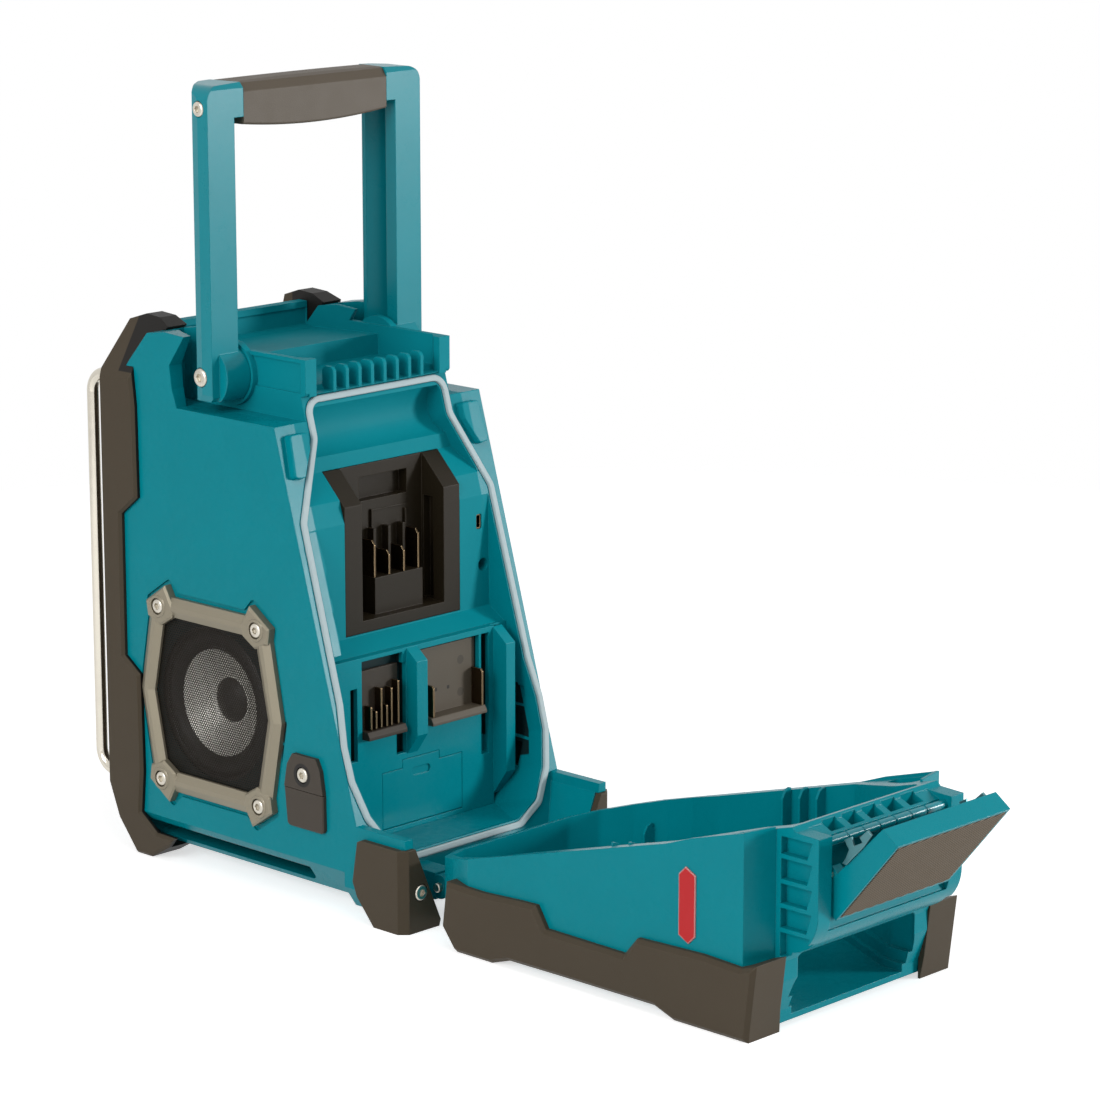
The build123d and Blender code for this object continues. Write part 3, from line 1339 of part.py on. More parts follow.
with BuildPart() as grip_screws:
    seat = Plane(origin=(ARM_OUTER - 1.8, Y_ORIGIN - 143.4, 417.4), x_dir=(0, 1, 0), z_dir=(1, 0, 0))
    add(socket_screw(seat, 4.2, 2.4, 1.5, 28))
    mirror(about=Plane.YZ)

with BuildPart() as pivot_screws:
    seat = Plane(origin=(ARM_OUTER - 1.8, Y_ORIGIN + PIVOT_Y, PIVOT_Z), x_dir=(0, 1, 0), z_dir=(1, 0, 0))
    add(socket_screw(seat, 5.1, 2.6, PIVOT_RADIUS, 25.5))
    mirror(about=Plane.YZ)

# ---------------------------------------------------------------------------
# Front panel with the controls
# ---------------------------------------------------------------------------
PANEL_BACK = -216.4
PANEL_FRONT = -223.0
WINDOW_Z = 208.0
KNOB_Z = 132.0
PRESET_X = (-36, -12, 12, 36)
PRESET_Z = 176.0
POWER_X = -38.0
POWER_Z = 132.0
SOCKET_Z = 70.0
BUTTON_FIT = 0.35

with BuildPart() as front_panel:
    with BuildSketch(cross(PANEL_BACK)):
        with Locations((0, 144)):
            RectangleRounded(111.4, 195.4, 5.8)
    extrude(amount=PANEL_BACK - PANEL_FRONT)
    chamfer(front_panel.faces().sort_by(Axis.Y)[0].edges(), length=1.2)
    # window frame, stepped
    with BuildSketch(cross(PANEL_FRONT)):
        with Locations((0, WINDOW_Z)):
            RectangleRounded(92, 44, 4)
    extrude(amount=-2, mode=Mode.SUBTRACT)
    with BuildSketch(cross(PANEL_FRONT)):
        with Locations((0, WINDOW_Z)):
            RectangleRounded(78, 32, 2)
    extrude(amount=-8, mode=Mode.SUBTRACT)
    # button openings
    with BuildSketch(cross(PANEL_FRONT)):
        with Locations([(x, PRESET_Z) for x in PRESET_X]):
            RectangleRounded(16, 8, 2)
        with Locations((POWER_X, POWER_Z)):
            Circle(7)
    extrude(amount=-8, mode=Mode.SUBTRACT)
    # dish and spindle hole of the knob
    with BuildSketch(cross(PANEL_FRONT)):
        with Locations((0, KNOB_Z)):
            Circle(24)
    extrude(amount=-2.4, mode=Mode.SUBTRACT)
    with BuildSketch(cross(PANEL_FRONT)):
        with Locations((0, KNOB_Z)):
            Circle(3.07)
    extrude(amount=-8, mode=Mode.SUBTRACT)
    # socket recess under the cover, with two round sockets and a flat one
    with BuildSketch(cross(PANEL_FRONT)):
        with Locations((0, SOCKET_Z)):
            RectangleRounded(64.6, 24.6, 3)
    extrude(amount=-4, mode=Mode.SUBTRACT)
    with BuildSketch(cross(PANEL_FRONT)):
        with Locations((-20, SOCKET_Z)):
            Circle(3)
        with Locations((0, SOCKET_Z)):
            RectangleRounded(9, 3.4, 1.6)
        with Locations((20, SOCKET_Z)):
            RectangleRounded(12.5, 5, 0.6)
    extrude(amount=-8, mode=Mode.SUBTRACT)
    # posts that carry the board
    with BuildSketch(cross(PANEL_BACK - 0.5)):
        with Locations((-46, 90), (46, 90), (-46, 156), (46, 156)):
            Circle(3)
    extrude(amount=-6.55)

with BuildPart() as display_window:
    with BuildSketch(cross(PANEL_FRONT + 1.9)):
        with Locations((0, WINDOW_Z)):
            RectangleRounded(91.4, 43.4, 3.8)
    extrude(amount=1.6)

with BuildPart() as display_module:
    with BuildSketch(cross(PANEL_BACK + 0.2)):
        with Locations((0, WINDOW_Z)):
            Rectangle(76, 30)
    extrude(amount=3.8)
    with BuildSketch(cross(PANEL_BACK + 2)):
        with Locations((0, WINDOW_Z)):
            Rectangle(86, 38)
    extrude(amount=1.9)

with BuildPart() as main_board:
    with BuildSketch(cross(PANEL_BACK + 7.7)):
        with Locations((0, 123)):
            Rectangle(100, 90)
    extrude(amount=1.6)
    with BuildSketch(cross(PANEL_BACK + 12)):
        with Locations((-24, 116), (18, 138)):
            Rectangle(22, 22)
    extrude(amount=4.4)

with BuildPart() as preset_button_1:
    with BuildSketch(cross(PANEL_FRONT - 1.2)):
        with Locations((PRESET_X[0], PRESET_Z)):
            RectangleRounded(16 - 2 * BUTTON_FIT, 8 - 2 * BUTTON_FIT, 2 - BUTTON_FIT)
    extrude(amount=-7)
    chamfer(preset_button_1.faces().sort_by(Axis.Y)[0].edges(), length=0.5)

preset_buttons = [preset_button_1]
for x in PRESET_X[1:]:
    with BuildPart() as preset_button:
        add(preset_button_1.part.moved(Location((x - PRESET_X[0], 0, 0))))
    preset_buttons.append(preset_button)

with BuildPart() as power_button:
    with BuildSketch(cross(PANEL_FRONT - 1.2)):
        with Locations((POWER_X, POWER_Z)):
            Circle(7 - BUTTON_FIT)
    extrude(amount=-7)
    chamfer(power_button.faces().sort_by(Axis.Y)[0].edges(), length=0.6)

KNOB_FLUTES = 24
with BuildPart() as tuning_knob:
    with BuildSketch(cross(PANEL_FRONT + 1.9)):
        with Locations((0, KNOB_Z)):
            Circle(22)
    extrude(amount=13)
    fillet(tuning_knob.edges().sort_by(Axis.Y)[0], radius=2.2)
    with BuildSketch(cross(PANEL_FRONT - 2)):
        with Locations((0, KNOB_Z)):
            with PolarLocations(22.6, KNOB_FLUTES):
                Circle(1.5)
    extrude(amount=12, mode=Mode.SUBTRACT)
    with BuildSketch(cross(PANEL_FRONT - 11.1)):
        with Locations((0, KNOB_Z)):
            Circle(16)
    extrude(amount=-1.2, mode=Mode.SUBTRACT)
    with BuildSketch(cross(PANEL_FRONT)):
        with Locations((0, KNOB_Z)):
            Circle(3)
    extrude(amount=-12)

with BuildPart() as socket_cover:
    with BuildSketch(cross(PANEL_FRONT + 1.6)):
        with Locations((0, SOCKET_Z)):
            RectangleRounded(64, 24, 2.8)
    extrude(amount=2.4)
    chamfer(socket_cover.faces().sort_by(Axis.Y)[0].edges(), length=0.6)
    with BuildSketch(cross(PANEL_FRONT - 0.8)):
        with Locations((0, SOCKET_Z + 8.5)):
            SlotOverall(18, 3)
    extrude(amount=1.2)

PIECES = {
    "housing": housing,
    "right_front_bumper": right_front_bumper,
    "left_front_bumper": left_front_bumper,
    "right_rear_bumper": right_rear_bumper,
    "left_rear_bumper": left_rear_bumper,
    "right_guard_bar": right_guard_bar,
    "left_guard_bar": left_guard_bar,
    "right_speaker_frame": right_speaker_frame,
    "left_speaker_frame": left_speaker_frame,
    "right_grille_mesh": right_grille_mesh,
    "left_grille_mesh": left_grille_mesh,
    "right_speaker_driver": right_speaker_driver,
    "left_speaker_driver": left_speaker_driver,
    "frame_screws": frame_screws,
    "bumper_screws": bumper_screws,
    "battery_deck": battery_deck,
    "backup_cell_cover": backup_cell_cover,
    "tool_battery_mount": tool_battery_mount,
    "mount_terminals": mount_terminals,
    "small_terminal_block": small_terminal_block,
    "small_terminals": small_terminals,
    "large_terminal_block": large_terminal_block,
    "large_terminals": large_terminals,
    "bay_seal": bay_seal,
    "usb_port": usb_port,
    "dc_cover_tab": dc_cover_tab,
    "dc_cover_door": dc_cover_door,
    "dc_cover_screw": dc_cover_screw,
    "dc_jack": dc_jack,
    "lid": lid,
    "right_lid_bumper": right_lid_bumper,
    "left_lid_bumper": left_lid_bumper,
    "lid_badges": lid_badges,
    "latch_flap": latch_flap,
    "latch_pad": latch_pad,
    "latch_links": latch_links,
    "latch_pin": latch_pin,
    "latch_rod": latch_rod,
    "hinge_pin": hinge_pin,
    "right_handle_arm": right_handle_arm,
    "left_handle_arm": left_handle_arm,
    "handle_grip": handle_grip,
    "handle_core": handle_core,
    "grip_screws": grip_screws,
    "pivot_screws": pivot_screws,
    "front_panel": front_panel,
    "display_window": display_window,
    "display_module": display_module,
    "main_board": main_board,
    "power_button": power_button,
    "tuning_knob": tuning_knob,
    "socket_cover": socket_cover,
}
PIECES.update({f"preset_button_{i + 1}": button for i, button in enumerate(preset_buttons)})

for label, piece in PIECES.items():
    piece.part.label = label
    export_step(piece.part, f"parts/{label}.step")
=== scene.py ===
import json
from math import cos, pi, radians, sin, sqrt

import bmesh
import bpy
from bpy.props import FloatProperty, FloatVectorProperty, PointerProperty
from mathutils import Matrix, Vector


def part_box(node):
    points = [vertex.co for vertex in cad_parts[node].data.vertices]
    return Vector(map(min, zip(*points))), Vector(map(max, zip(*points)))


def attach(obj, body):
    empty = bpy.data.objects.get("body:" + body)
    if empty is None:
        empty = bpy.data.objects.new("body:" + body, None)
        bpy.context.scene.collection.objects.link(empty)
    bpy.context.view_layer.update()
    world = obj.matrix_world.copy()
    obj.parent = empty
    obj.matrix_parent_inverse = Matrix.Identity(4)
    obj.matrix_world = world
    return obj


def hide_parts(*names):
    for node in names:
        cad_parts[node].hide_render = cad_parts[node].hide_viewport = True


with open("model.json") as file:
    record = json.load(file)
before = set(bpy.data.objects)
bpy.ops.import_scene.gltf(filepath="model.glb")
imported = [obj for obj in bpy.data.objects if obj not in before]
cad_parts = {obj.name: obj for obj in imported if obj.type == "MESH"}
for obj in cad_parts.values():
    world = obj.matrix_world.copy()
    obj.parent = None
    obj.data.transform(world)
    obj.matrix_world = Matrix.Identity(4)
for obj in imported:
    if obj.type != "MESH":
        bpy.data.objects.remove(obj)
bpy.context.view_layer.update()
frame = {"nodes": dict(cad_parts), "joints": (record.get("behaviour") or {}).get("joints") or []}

bl_info = {
    "name": "Jobsite radio looks",
    "version": (1, 0, 0),
    "blender": (4, 5, 0),
    "location": "View3D > Sidebar > Radio",
    "description": "Finishes and fine pieces for an upright jobsite radio with its battery lid open",
    "category": "Object",
}

JOINTS = {joint["name"]: joint for joint in frame["joints"]}
HINGE_LINE = JOINTS["lid_hinge"]["pos_m"][1]
SIDES = {"right": 1, "left": -1}


def middle(node):
    """Centre of a CAD node's box."""
    low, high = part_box(node)
    return (low + high) / 2


def tone(red, green, blue):
    """Linear colour from the 0-255 values that a screen shows."""
    parts = [value / 255 for value in (red, green, blue)]
    return tuple(p / 12.92 if p <= 0.04045 else ((p + 0.055) / 1.055) ** 2.4 for p in parts)


# ---------------------------------------------------------------------------
# Shader values and finishes
# ---------------------------------------------------------------------------
class Value:
    """A shader socket that can stand in a Python expression."""

    def __init__(self, nodes, socket):
        self.nodes, self.socket = nodes, socket

    def maths(self, operation, *values, clamp=False):
        settings = {"operation": operation, "use_clamp": clamp}
        return self.nodes.node("ShaderNodeMath", settings, dict(enumerate(values)))

    def __add__(self, other):
        return self.maths("ADD", self, other)

    def __radd__(self, other):
        return self.maths("ADD", other, self)

    def __sub__(self, other):
        return self.maths("SUBTRACT", self, other)

    def __rsub__(self, other):
        return self.maths("SUBTRACT", other, self)

    def __mul__(self, other):
        return self.maths("MULTIPLY", self, other)

    def __rmul__(self, other):
        return self.maths("MULTIPLY", other, self)

    def __truediv__(self, other):
        return self.maths("DIVIDE", self, other)

    def __rtruediv__(self, other):
        return self.maths("DIVIDE", other, self)

    def clamped(self):
        return self.maths("ADD", self, 0.0, clamp=True)

    def absolute(self):
        return self.maths("ABSOLUTE", self)

    def sine(self):
        return self.maths("SINE", self)

    def rises(self, start, end):
        """Smooth step from 0 at start to 1 at end."""
        settings = {"interpolation_type": "SMOOTHSTEP"}
        inputs = {"Value": self, "From Min": start, "From Max": end}
        return self.nodes.node("ShaderNodeMapRange", settings, inputs)

    def above(self, level, blur):
        """1 above level and 0 below it, over an edge this wide."""
        return self.rises(level, level + blur)

    def below(self, level, blur):
        """1 below level and 0 above it, over an edge this wide."""
        return 1 - self.above(level, blur)


class Nodes:
    """A node tree that is written as expressions."""

    def __init__(self, tree):
        self.tree = tree

    def node(self, kind, settings, inputs, output=0):
        """Adds one node: its settings first, then the values or links of its sockets."""
        made = self.tree.nodes.new(kind)
        for name, value in settings.items():
            setattr(made, name, value)
        for name, value in inputs.items():
            self.fill(made.inputs[name], value)
        return Value(self, made.outputs[output])

    def fill(self, socket, value):
        if isinstance(value, Value):
            self.tree.links.new(value.socket, socket)
        elif socket.type == "RGBA" and len(value) == 3:
            socket.default_value = (*value, 1)
        else:
            socket.default_value = value

    def mix(self, first, second, factor):
        """Colour between first and second; 0, 6, 7 and 2 are the Mix node's colour sockets."""
        inputs = {0: factor, 6: first, 7: second}
        return self.node("ShaderNodeMix", {"data_type": "RGBA"}, inputs, output=2)

    def seen(self):
        """1 for rays from the camera, a mirror or glass, and 0 for those that only light."""
        camera, glossy, clear = [
            self.node("ShaderNodeLightPath", {}, {}, output=f"Is {ray} Ray")
            for ray in ("Camera", "Glossy", "Transmission")
        ]
        return (camera + glossy + clear).clamped()


class Finish(Nodes):
    """A material with one Principled shader."""

    def __init__(self, name, rough=0.5, metal=0.0, **sockets):
        self.material = bpy.data.materials.new(name)
        self.material.use_nodes = True
        super().__init__(self.material.node_tree)
        self.shader = self.tree.nodes["Principled BSDF"]
        self.put("Roughness", rough)
        self.put("Metallic", metal)
        for socket, value in sockets.items():
            self.put(socket.replace("_", " "), value)

    def put(self, socket, value):
        self.fill(self.shader.inputs[socket], value)

    def place(self):
        """Position on the part, in metres."""
        return self.node("ShaderNodeTexCoord", {}, {}, output="Object")

    def along(self, axis):
        """Position along X, Y or Z, in metres."""
        return self.node("ShaderNodeSeparateXYZ", {}, {"Vector": self.place()}, output=axis)

    def vector(self, operation, first, second, output="Vector"):
        inputs = {0: first, 1: second}
        return self.node("ShaderNodeVectorMath", {"operation": operation}, inputs, output)

    def radius_from(self, centre):
        """Distance in the side's plane, y and z, from a point."""
        offset = self.vector("SUBTRACT", self.place(), tuple(centre))
        flat = self.vector("MULTIPLY", offset, (0, 1, 1))
        return self.vector("LENGTH", flat, (0, 0, 0), output="Value")

    def speckle(self, size, detail=2.0, stretch=(1, 1, 1)):
        """Noise with patches of about this size in metres, longer along the larger stretches."""
        grain = tuple(1 / (size * s) for s in stretch)
        place = self.vector("MULTIPLY", self.place(), grain)
        inputs = {"Vector": place, "Scale": 1.0, "Detail": detail}
        return self.node("ShaderNodeTexNoise", {}, inputs)

    def soft_edges(self, radius):
        """Normal that rounds sharp edges by this radius."""
        return self.node("ShaderNodeBevel", {"samples": 6}, {"Radius": radius})

    def edges(self, rounded, full):
        """1 along the edges and 0 on the flats; a lower full makes them wider."""
        flat = self.node("ShaderNodeNewGeometry", {}, {}, output="Normal")
        likeness = self.vector("DOT_PRODUCT", rounded, flat, output="Value")
        return (1 - likeness).rises(0.01, full)

    def bump(self, height, depth, normal=None):
        """Raises the surface by height times depth, in metres."""
        inputs = {"Height": height, "Distance": depth}
        if normal is not None:
            inputs["Normal"] = normal
        self.put("Normal", self.node("ShaderNodeBump", {}, inputs))


# sizes of the patches of uneven colour and gloss, metres
MOULD_COLOUR, MOULD_GLOSS = 0.035, 0.012
METAL_HAZE, METAL_LINES, METAL_EDGE = 0.006, 0.0005, 0.0003


def moulded(
    name, colour, rough, edge=0.6, grain=0.0004, depth=0.00002, worn=None, mottle=0.06,
    edge_radius=0.0006, edge_full=0.35, shade=None, shade_where=None, rougher=None, **sockets,
):
    """Moulded plastic or rubber: fine spark-eroded grain, faint mottling and a painted highlight on the
    edges.

    edge is the share of the paler colour painted along the edges as a highlight.
    shade is a second colour, and shade_where takes the finish and its edges and gives its share.
    rougher takes the finish and gives what is added to the roughness.
    """
    finish = Finish(name, **sockets)
    rounded = finish.soft_edges(edge_radius)
    rim = finish.edges(rounded, edge_full)
    fine = finish.speckle(grain, detail=3.0)
    broad = finish.speckle(MOULD_COLOUR, detail=4.0)
    dark = tuple(part * (1 - mottle) for part in colour)
    light = tuple(min(1, part * (1 + mottle)) for part in colour)
    body = finish.mix(dark, light, broad)
    # painted highlight: the edges are mixed towards a paler colour, standing in for the light they
    # catch
    pale = worn or tuple(min(1, part * 1.25 + 0.02) for part in colour)
    body = finish.mix(body, pale, rim * edge)
    if shade:
        body = finish.mix(body, shade, shade_where(finish, rim))
    finish.put("Base Color", body)
    # patches and grain spread the polish about its mean, and handling has smoothed the edges
    gloss = finish.speckle(MOULD_GLOSS, detail=3.0)
    roughness = rough - 0.04 + 0.08 * gloss + 0.06 * fine - 0.08 * rim
    if rougher:
        roughness = roughness + rougher(finish)
    finish.put("Roughness", roughness)
    finish.bump(fine, depth, rounded)
    return finish.material


def metal(name, colour, rough, stretch=(1, 1, 1), scratch=0.00003, flat_shade=None, dulling=0.2):
    """Bare or plated metal with fine drawn lines and a slightly uneven polish.

    stretch is the direction of the lines, and the darker colour is painted shade on the flats, leaving
    the edges bright as a painted highlight.
    """
    finish = Finish(name, metal=1.0)
    rounded = finish.soft_edges(METAL_EDGE)
    lines = finish.speckle(METAL_LINES, detail=4.0, stretch=stretch)
    haze = finish.speckle(METAL_HAZE, detail=3.0)
    dull = tuple(part * (1 - dulling) for part in colour)
    body = finish.mix(dull, colour, haze.rises(0.25, 0.7))
    # painted shade on the flats, standing in for the dark surroundings they reflect, and a painted
    # highlight on the edges
    if flat_shade:
        body = finish.mix(flat_shade, body, finish.edges(rounded, 0.2))
    finish.put("Base Color", body)
    finish.put("Roughness", rough - 0.05 + 0.12 * haze + 0.06 * lines)
    finish.bump(lines, scratch, rounded)
    return finish.material


# ---------------------------------------------------------------------------
# Pieces
# ---------------------------------------------------------------------------
def piece(name, points, faces, material, body, stands_for=(), smooth=False):
    """Mesh piece from its points in metres, riding on a CAD body."""
    mesh = bpy.data.meshes.new(name)
    mesh.from_pydata([tuple(p) for p in points], [], faces)
    mesh.validate()
    mesh.update()
    mesh.materials.append(material)
    if smooth:
        mesh.shade_smooth()
    made = bpy.data.objects.new(name, mesh)
    bpy.context.scene.collection.objects.link(made)
    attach(made, body)
    if stands_for:
        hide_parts(*stands_for)
    return made


def walls(first, count):
    """Faces between two like outlines whose points follow each other."""
    turns = [(first + i, first + (i + 1) % count) for i in range(count)]
    return [(here, here + count, there + count, there) for here, there in turns]


def dress(material, *nodes):
    """Gives CAD nodes their finish."""
    for node in nodes:
        materials = frame["nodes"][node].data.materials
        materials.clear()
        materials.append(material)


def both(name):
    """The right and left node of a pair."""
    return [f"{side}_{name}" for side in SIDES]


# ---------------------------------------------------------------------------
# Settings
# ---------------------------------------------------------------------------
def colour_setting(name, description, *screen):
    return FloatVectorProperty(
        name=name, description=description, subtype="COLOR", size=3, min=0, max=1, default=tone(*screen)
    )


def length_setting(name, description, default, least, most):
    return FloatProperty(
        name=name, description=description, default=default, min=least, max=most,
        unit="LENGTH", precision=5,
    )


class RadioColours(bpy.types.PropertyGroup):
    """Colours of the radio's materials."""

    teal: colour_setting("Teal", "Moulded body, lid and handle arms", 0, 132, 144)
    rubber: colour_setting("Rubber", "Corner bumpers and covers", 68, 59, 46)
    mount: colour_setting("Mount", "Dark plastic of the battery mounts", 34, 28, 18)
    frame: colour_setting("Loudspeaker frame", "Grey frame round the mesh", 142, 134, 116)
    cone: colour_setting("Cone", "Loudspeaker cone", 250, 247, 238)
    seal: colour_setting("Seal", "Gasket round the battery bay", 132, 156, 160)
    steel: colour_setting("Steel", "Screws and guard bars", 208, 202, 189)
    brass: colour_setting("Contacts", "Blades of the battery mounts", 222, 198, 158)
    badge: colour_setting("Badge", "Bare plates on the lid", 188, 22, 28)
    floor: colour_setting("Floor", "Studio floor", 236, 236, 236)


class RadioSizes(bpy.types.PropertyGroup):
    """Sizes of the fine pieces."""

    mesh_pitch: length_setting(
        "Mesh pitch", "Distance between holes of the loudspeaker mesh", 0.0015, 0.001, 0.005
    )
    mesh_hole: length_setting(
        "Mesh hole", "Diameter of a hole of the loudspeaker mesh", 0.00124, 0.0005, 0.004
    )
    cap_radius: length_setting(
        "Dust cap radius", "Radius of the dark cap in the cone", 0.0125, 0.005, 0.03
    )
    cone_radius: length_setting(
        "Cone radius", "Radius of the bright part of the cone", 0.0295, 0.01, 0.05
    )
    pad_pitch: length_setting(
        "Pad rib pitch", "Distance between the ribs of the latch pad", 0.0023, 0.001, 0.005
    )


# ---------------------------------------------------------------------------
# Operators
# ---------------------------------------------------------------------------
class RADIO_OT_stage(bpy.types.Operator):
    """Set the camera, the pale floor and the soft studio light"""

    bl_idname = "radio.stage"
    bl_label = "Stage and light"

    LENS, SENSOR = 129.7, 36     # millimetres
    NEAR, FAR = 0.1, 60          # limits of the view, metres
    CAMERA_PLACE = Vector((1.4413, 1.3870, 0.6550))
    VIEW_LINE = Vector((-0.7037, -0.6745, -0.2234))
    # place, aim, width and power of each soft box, metres and watts
    SOFT_BOXES = {
        "left_softbox": ((-1.26, 1.38, 0.49), (0, 0, 0.2), 0.36, 24),
        "side_softbox": ((2.0, 0.1, 1.0), (0, 0, 0.15), 1.3, 26),
        "top_softbox": ((0.5, 1.0, 2.0), (0, 0, 0.1), 1.3, 9),
    }
    AMBIENT = 0.25               # light from all round, as a share of white
    FLOOR_RADIUS, FLOOR_CORNERS = 1.15, 128
    FLOOR_GLOW = 0.62            # share of white that the floor shows of itself

    def execute(self, context):
        self.camera(context)
        self.floor(context.scene.radio_colours.floor)
        self.world(context)
        for name, (place, aim, width, power) in self.SOFT_BOXES.items():
            self.soft_box(name, Vector(place), Vector(aim), width, power)
        context.scene.view_settings.view_transform = "Standard"
        return {"FINISHED"}

    def camera(self, context):
        data = bpy.data.cameras.new("view")
        data.lens, data.sensor_width = self.LENS, self.SENSOR
        data.clip_start, data.clip_end = self.NEAR, self.FAR
        camera = bpy.data.objects.new("view", data)
        camera.location = self.CAMERA_PLACE
        camera.rotation_euler = self.VIEW_LINE.to_track_quat("-Z", "Y").to_euler()
        context.scene.collection.objects.link(camera)
        context.scene.camera = camera

    def floor(self, colour):
        """Round floor that takes the shadow and shows nearly white."""
        mesh = bpy.data.meshes.new("floor")
        form = bmesh.new()
        bmesh.ops.create_circle(
            form, cap_ends=True, radius=self.FLOOR_RADIUS, segments=self.FLOOR_CORNERS
        )
        form.to_mesh(mesh)
        form.free()
        finish = Finish("studio_floor", rough=0.8, Emission_Strength=1.0)
        finish.put("Base Color", tuple(colour))
        finish.put("Emission Color", finish.mix((0, 0, 0), (1, 1, 1), finish.seen() * self.FLOOR_GLOW))
        mesh.materials.append(finish.material)
        floor = bpy.data.objects.new("floor", mesh)
        bpy.context.scene.collection.objects.link(floor)

    def world(self, context):
        """White where it is seen, and a weak light from all round."""
        world = bpy.data.worlds.new("studio")
        world.use_nodes = True
        context.scene.world = world
        sky, background = Nodes(world.node_tree), world.node_tree.nodes["Background"]
        sky.fill(background.inputs["Color"], (1, 1, 1))
        sky.fill(background.inputs["Strength"], self.AMBIENT + (1 - self.AMBIENT) * sky.seen())

    def soft_box(self, name, place, aim, width, power):
        data = bpy.data.lights.new(name, "AREA")
        data.size, data.energy = width, power
        made = bpy.data.objects.new(name, data)
        made.location = place
        made.rotation_euler = (aim - place).to_track_quat("-Z", "Y").to_euler()
        bpy.context.scene.collection.objects.link(made)


class RADIO_OT_body(bpy.types.Operator):
    """Finish the moulded body, the lid and the battery bay"""

    bl_idname = "radio.body"
    bl_label = "Body and lid"

    HINGE_UP = 0.0175                     # z of the lid's hinge line
    FACE_AT_HINGE = HINGE_LINE - 0.0209   # y of the sloped rear face at that height
    LEAN = 0.2901                         # the face's fall towards the front for each metre up

    # rear edge of the bay's right wall inside the gasket: x and z of its outline, metres
    CHEEK = [
        (0.0640, 0.2160), (0.0625, 0.2077), (0.0605, 0.1902), (0.0598, 0.1800), (0.0612, 0.1765),
        (0.0615, 0.1659), (0.0606, 0.1645), (0.0606, 0.1590), (0.0618, 0.1578), (0.0609, 0.1470),
        (0.0618, 0.1360), (0.0672, 0.1360), (0.0672, 0.2000),
    ]
    CHEEK_DEEP, CHEEK_SUNK = 0.014, 0.0002

    # limits of the painted shade and the roughened places, in x to either side, y and z, metres
    WELL_HALF_WIDE, WELL_HALF_HIGH, WELL_OUTER = 0.0462, 0.0444, 0.0753
    SLOTS_TOP, SLOTS_FRONT = 0.1295, -0.1210
    RAIL_OUTER, RAIL_REAR, RAIL_LOW = 0.0615, -0.0924, 0.0690
    WALL_INNER, WALL_OUTER = 0.0666, 0.0753
    WINDOW_UNDER_FACE, WINDOW_LOW, WINDOW_TOP = 0.0100, 0.0475, 0.0967
    WINDOW_SHELVES, SHELF_HALF = (0.0664, 0.0843), 0.0006
    UPPER_BAY_HALF, UPPER_BAY_LOW = 0.0612, 0.125

    def execute(self, context):
        colours = context.scene.radio_colours
        # painted shade: near black in the loudspeaker wells and in the bay's slots and windows
        teal = moulded(
            "teal_moulding", tuple(colours.teal), 0.25, edge=0.3, shade=tone(24, 20, 17),
            shade_where=self.unlit, rougher=self.bay_inside, Specular_IOR_Level=0.1,
        )
        dress(teal, "housing", "battery_deck", "backup_cell_cover", "lid", "latch_flap")
        # painted highlight: a pale line along the middle of the gasket
        seal = moulded(
            "seal_foam", tuple(colours.seal), 0.55, edge=0.0, grain=0.0003, depth=0.00001,
            edge_radius=0.0010, shade=tone(200, 213, 216), shade_where=self.ridge_highlight,
            Specular_IOR_Level=0.15,
        )
        dress(seal, "bay_seal")
        self.cheek(teal)
        badge = moulded(
            "plate_red", tuple(colours.badge), 0.3, edge=1.0, worn=tone(214, 190, 186), mottle=0.03,
            edge_radius=0.0009, edge_full=0.06, Specular_IOR_Level=0.3,
        )
        dress(badge, "lid_badges")
        return {"FINISHED"}

    def ridge_highlight(self, finish, rim):
        """Painted highlight: a pale line along the middle of the gasket, away from both edges."""
        return (1 - rim).rises(0.8, 1.0) * 0.6

    def speaker_well_shade(self, finish):
        """Painted shade: the body darkened behind the perforated sheets."""
        centre = middle("right_grille_mesh")
        across = (finish.along("Y") - centre.y).absolute().below(self.WELL_HALF_WIDE, 0.0002)
        up = (finish.along("Z") - centre.z).absolute().below(self.WELL_HALF_HIGH, 0.0002)
        return across * up * finish.along("X").absolute().below(self.WELL_OUTER, 0.0002)

    def slot_and_window_shade(self, finish):
        """Painted shade in the slots beside the lower rails and in the shelved windows of the bay's
        side walls.
        """
        across, deep, up = finish.along("X").absolute(), finish.along("Y"), finish.along("Z")
        rails = across.below(self.RAIL_OUTER, 0.0003) * deep.below(self.RAIL_REAR, 0.0006)
        rails = rails * up.above(self.RAIL_LOW, 0.0010)
        under_face = self.FACE_AT_HINGE + self.HINGE_UP * self.LEAN - up * self.LEAN - deep
        windows = across.above(self.WALL_INNER, 0.0003) * across.below(self.WALL_OUTER, 0.0002)
        windows = windows * under_face.above(self.WINDOW_UNDER_FACE, 0.0005)
        windows = windows * up.above(self.WINDOW_LOW, 0.0005) * up.below(self.WINDOW_TOP, 0.0003)
        for level in self.WINDOW_SHELVES:
            windows = windows * (up - level).absolute().above(self.SHELF_HALF, 0.0003)
        low = up.below(self.SLOTS_TOP, 0.0010) * deep.above(self.SLOTS_FRONT, 0.0010)
        return low * (rails + windows)

    def unlit(self, finish, rim):
        """Painted shade: near black where the body opens onto its dark inside."""
        return (self.speaker_well_shade(finish) + self.slot_and_window_shade(finish)).clamped() * 0.92

    def bay_inside(self, finish):
        """Coarser grain inside the upper battery bay."""
        across = finish.along("X").absolute().below(self.UPPER_BAY_HALF, 0.0010)
        return 0.3 * across * finish.along("Z").above(self.UPPER_BAY_LOW, 0.010)

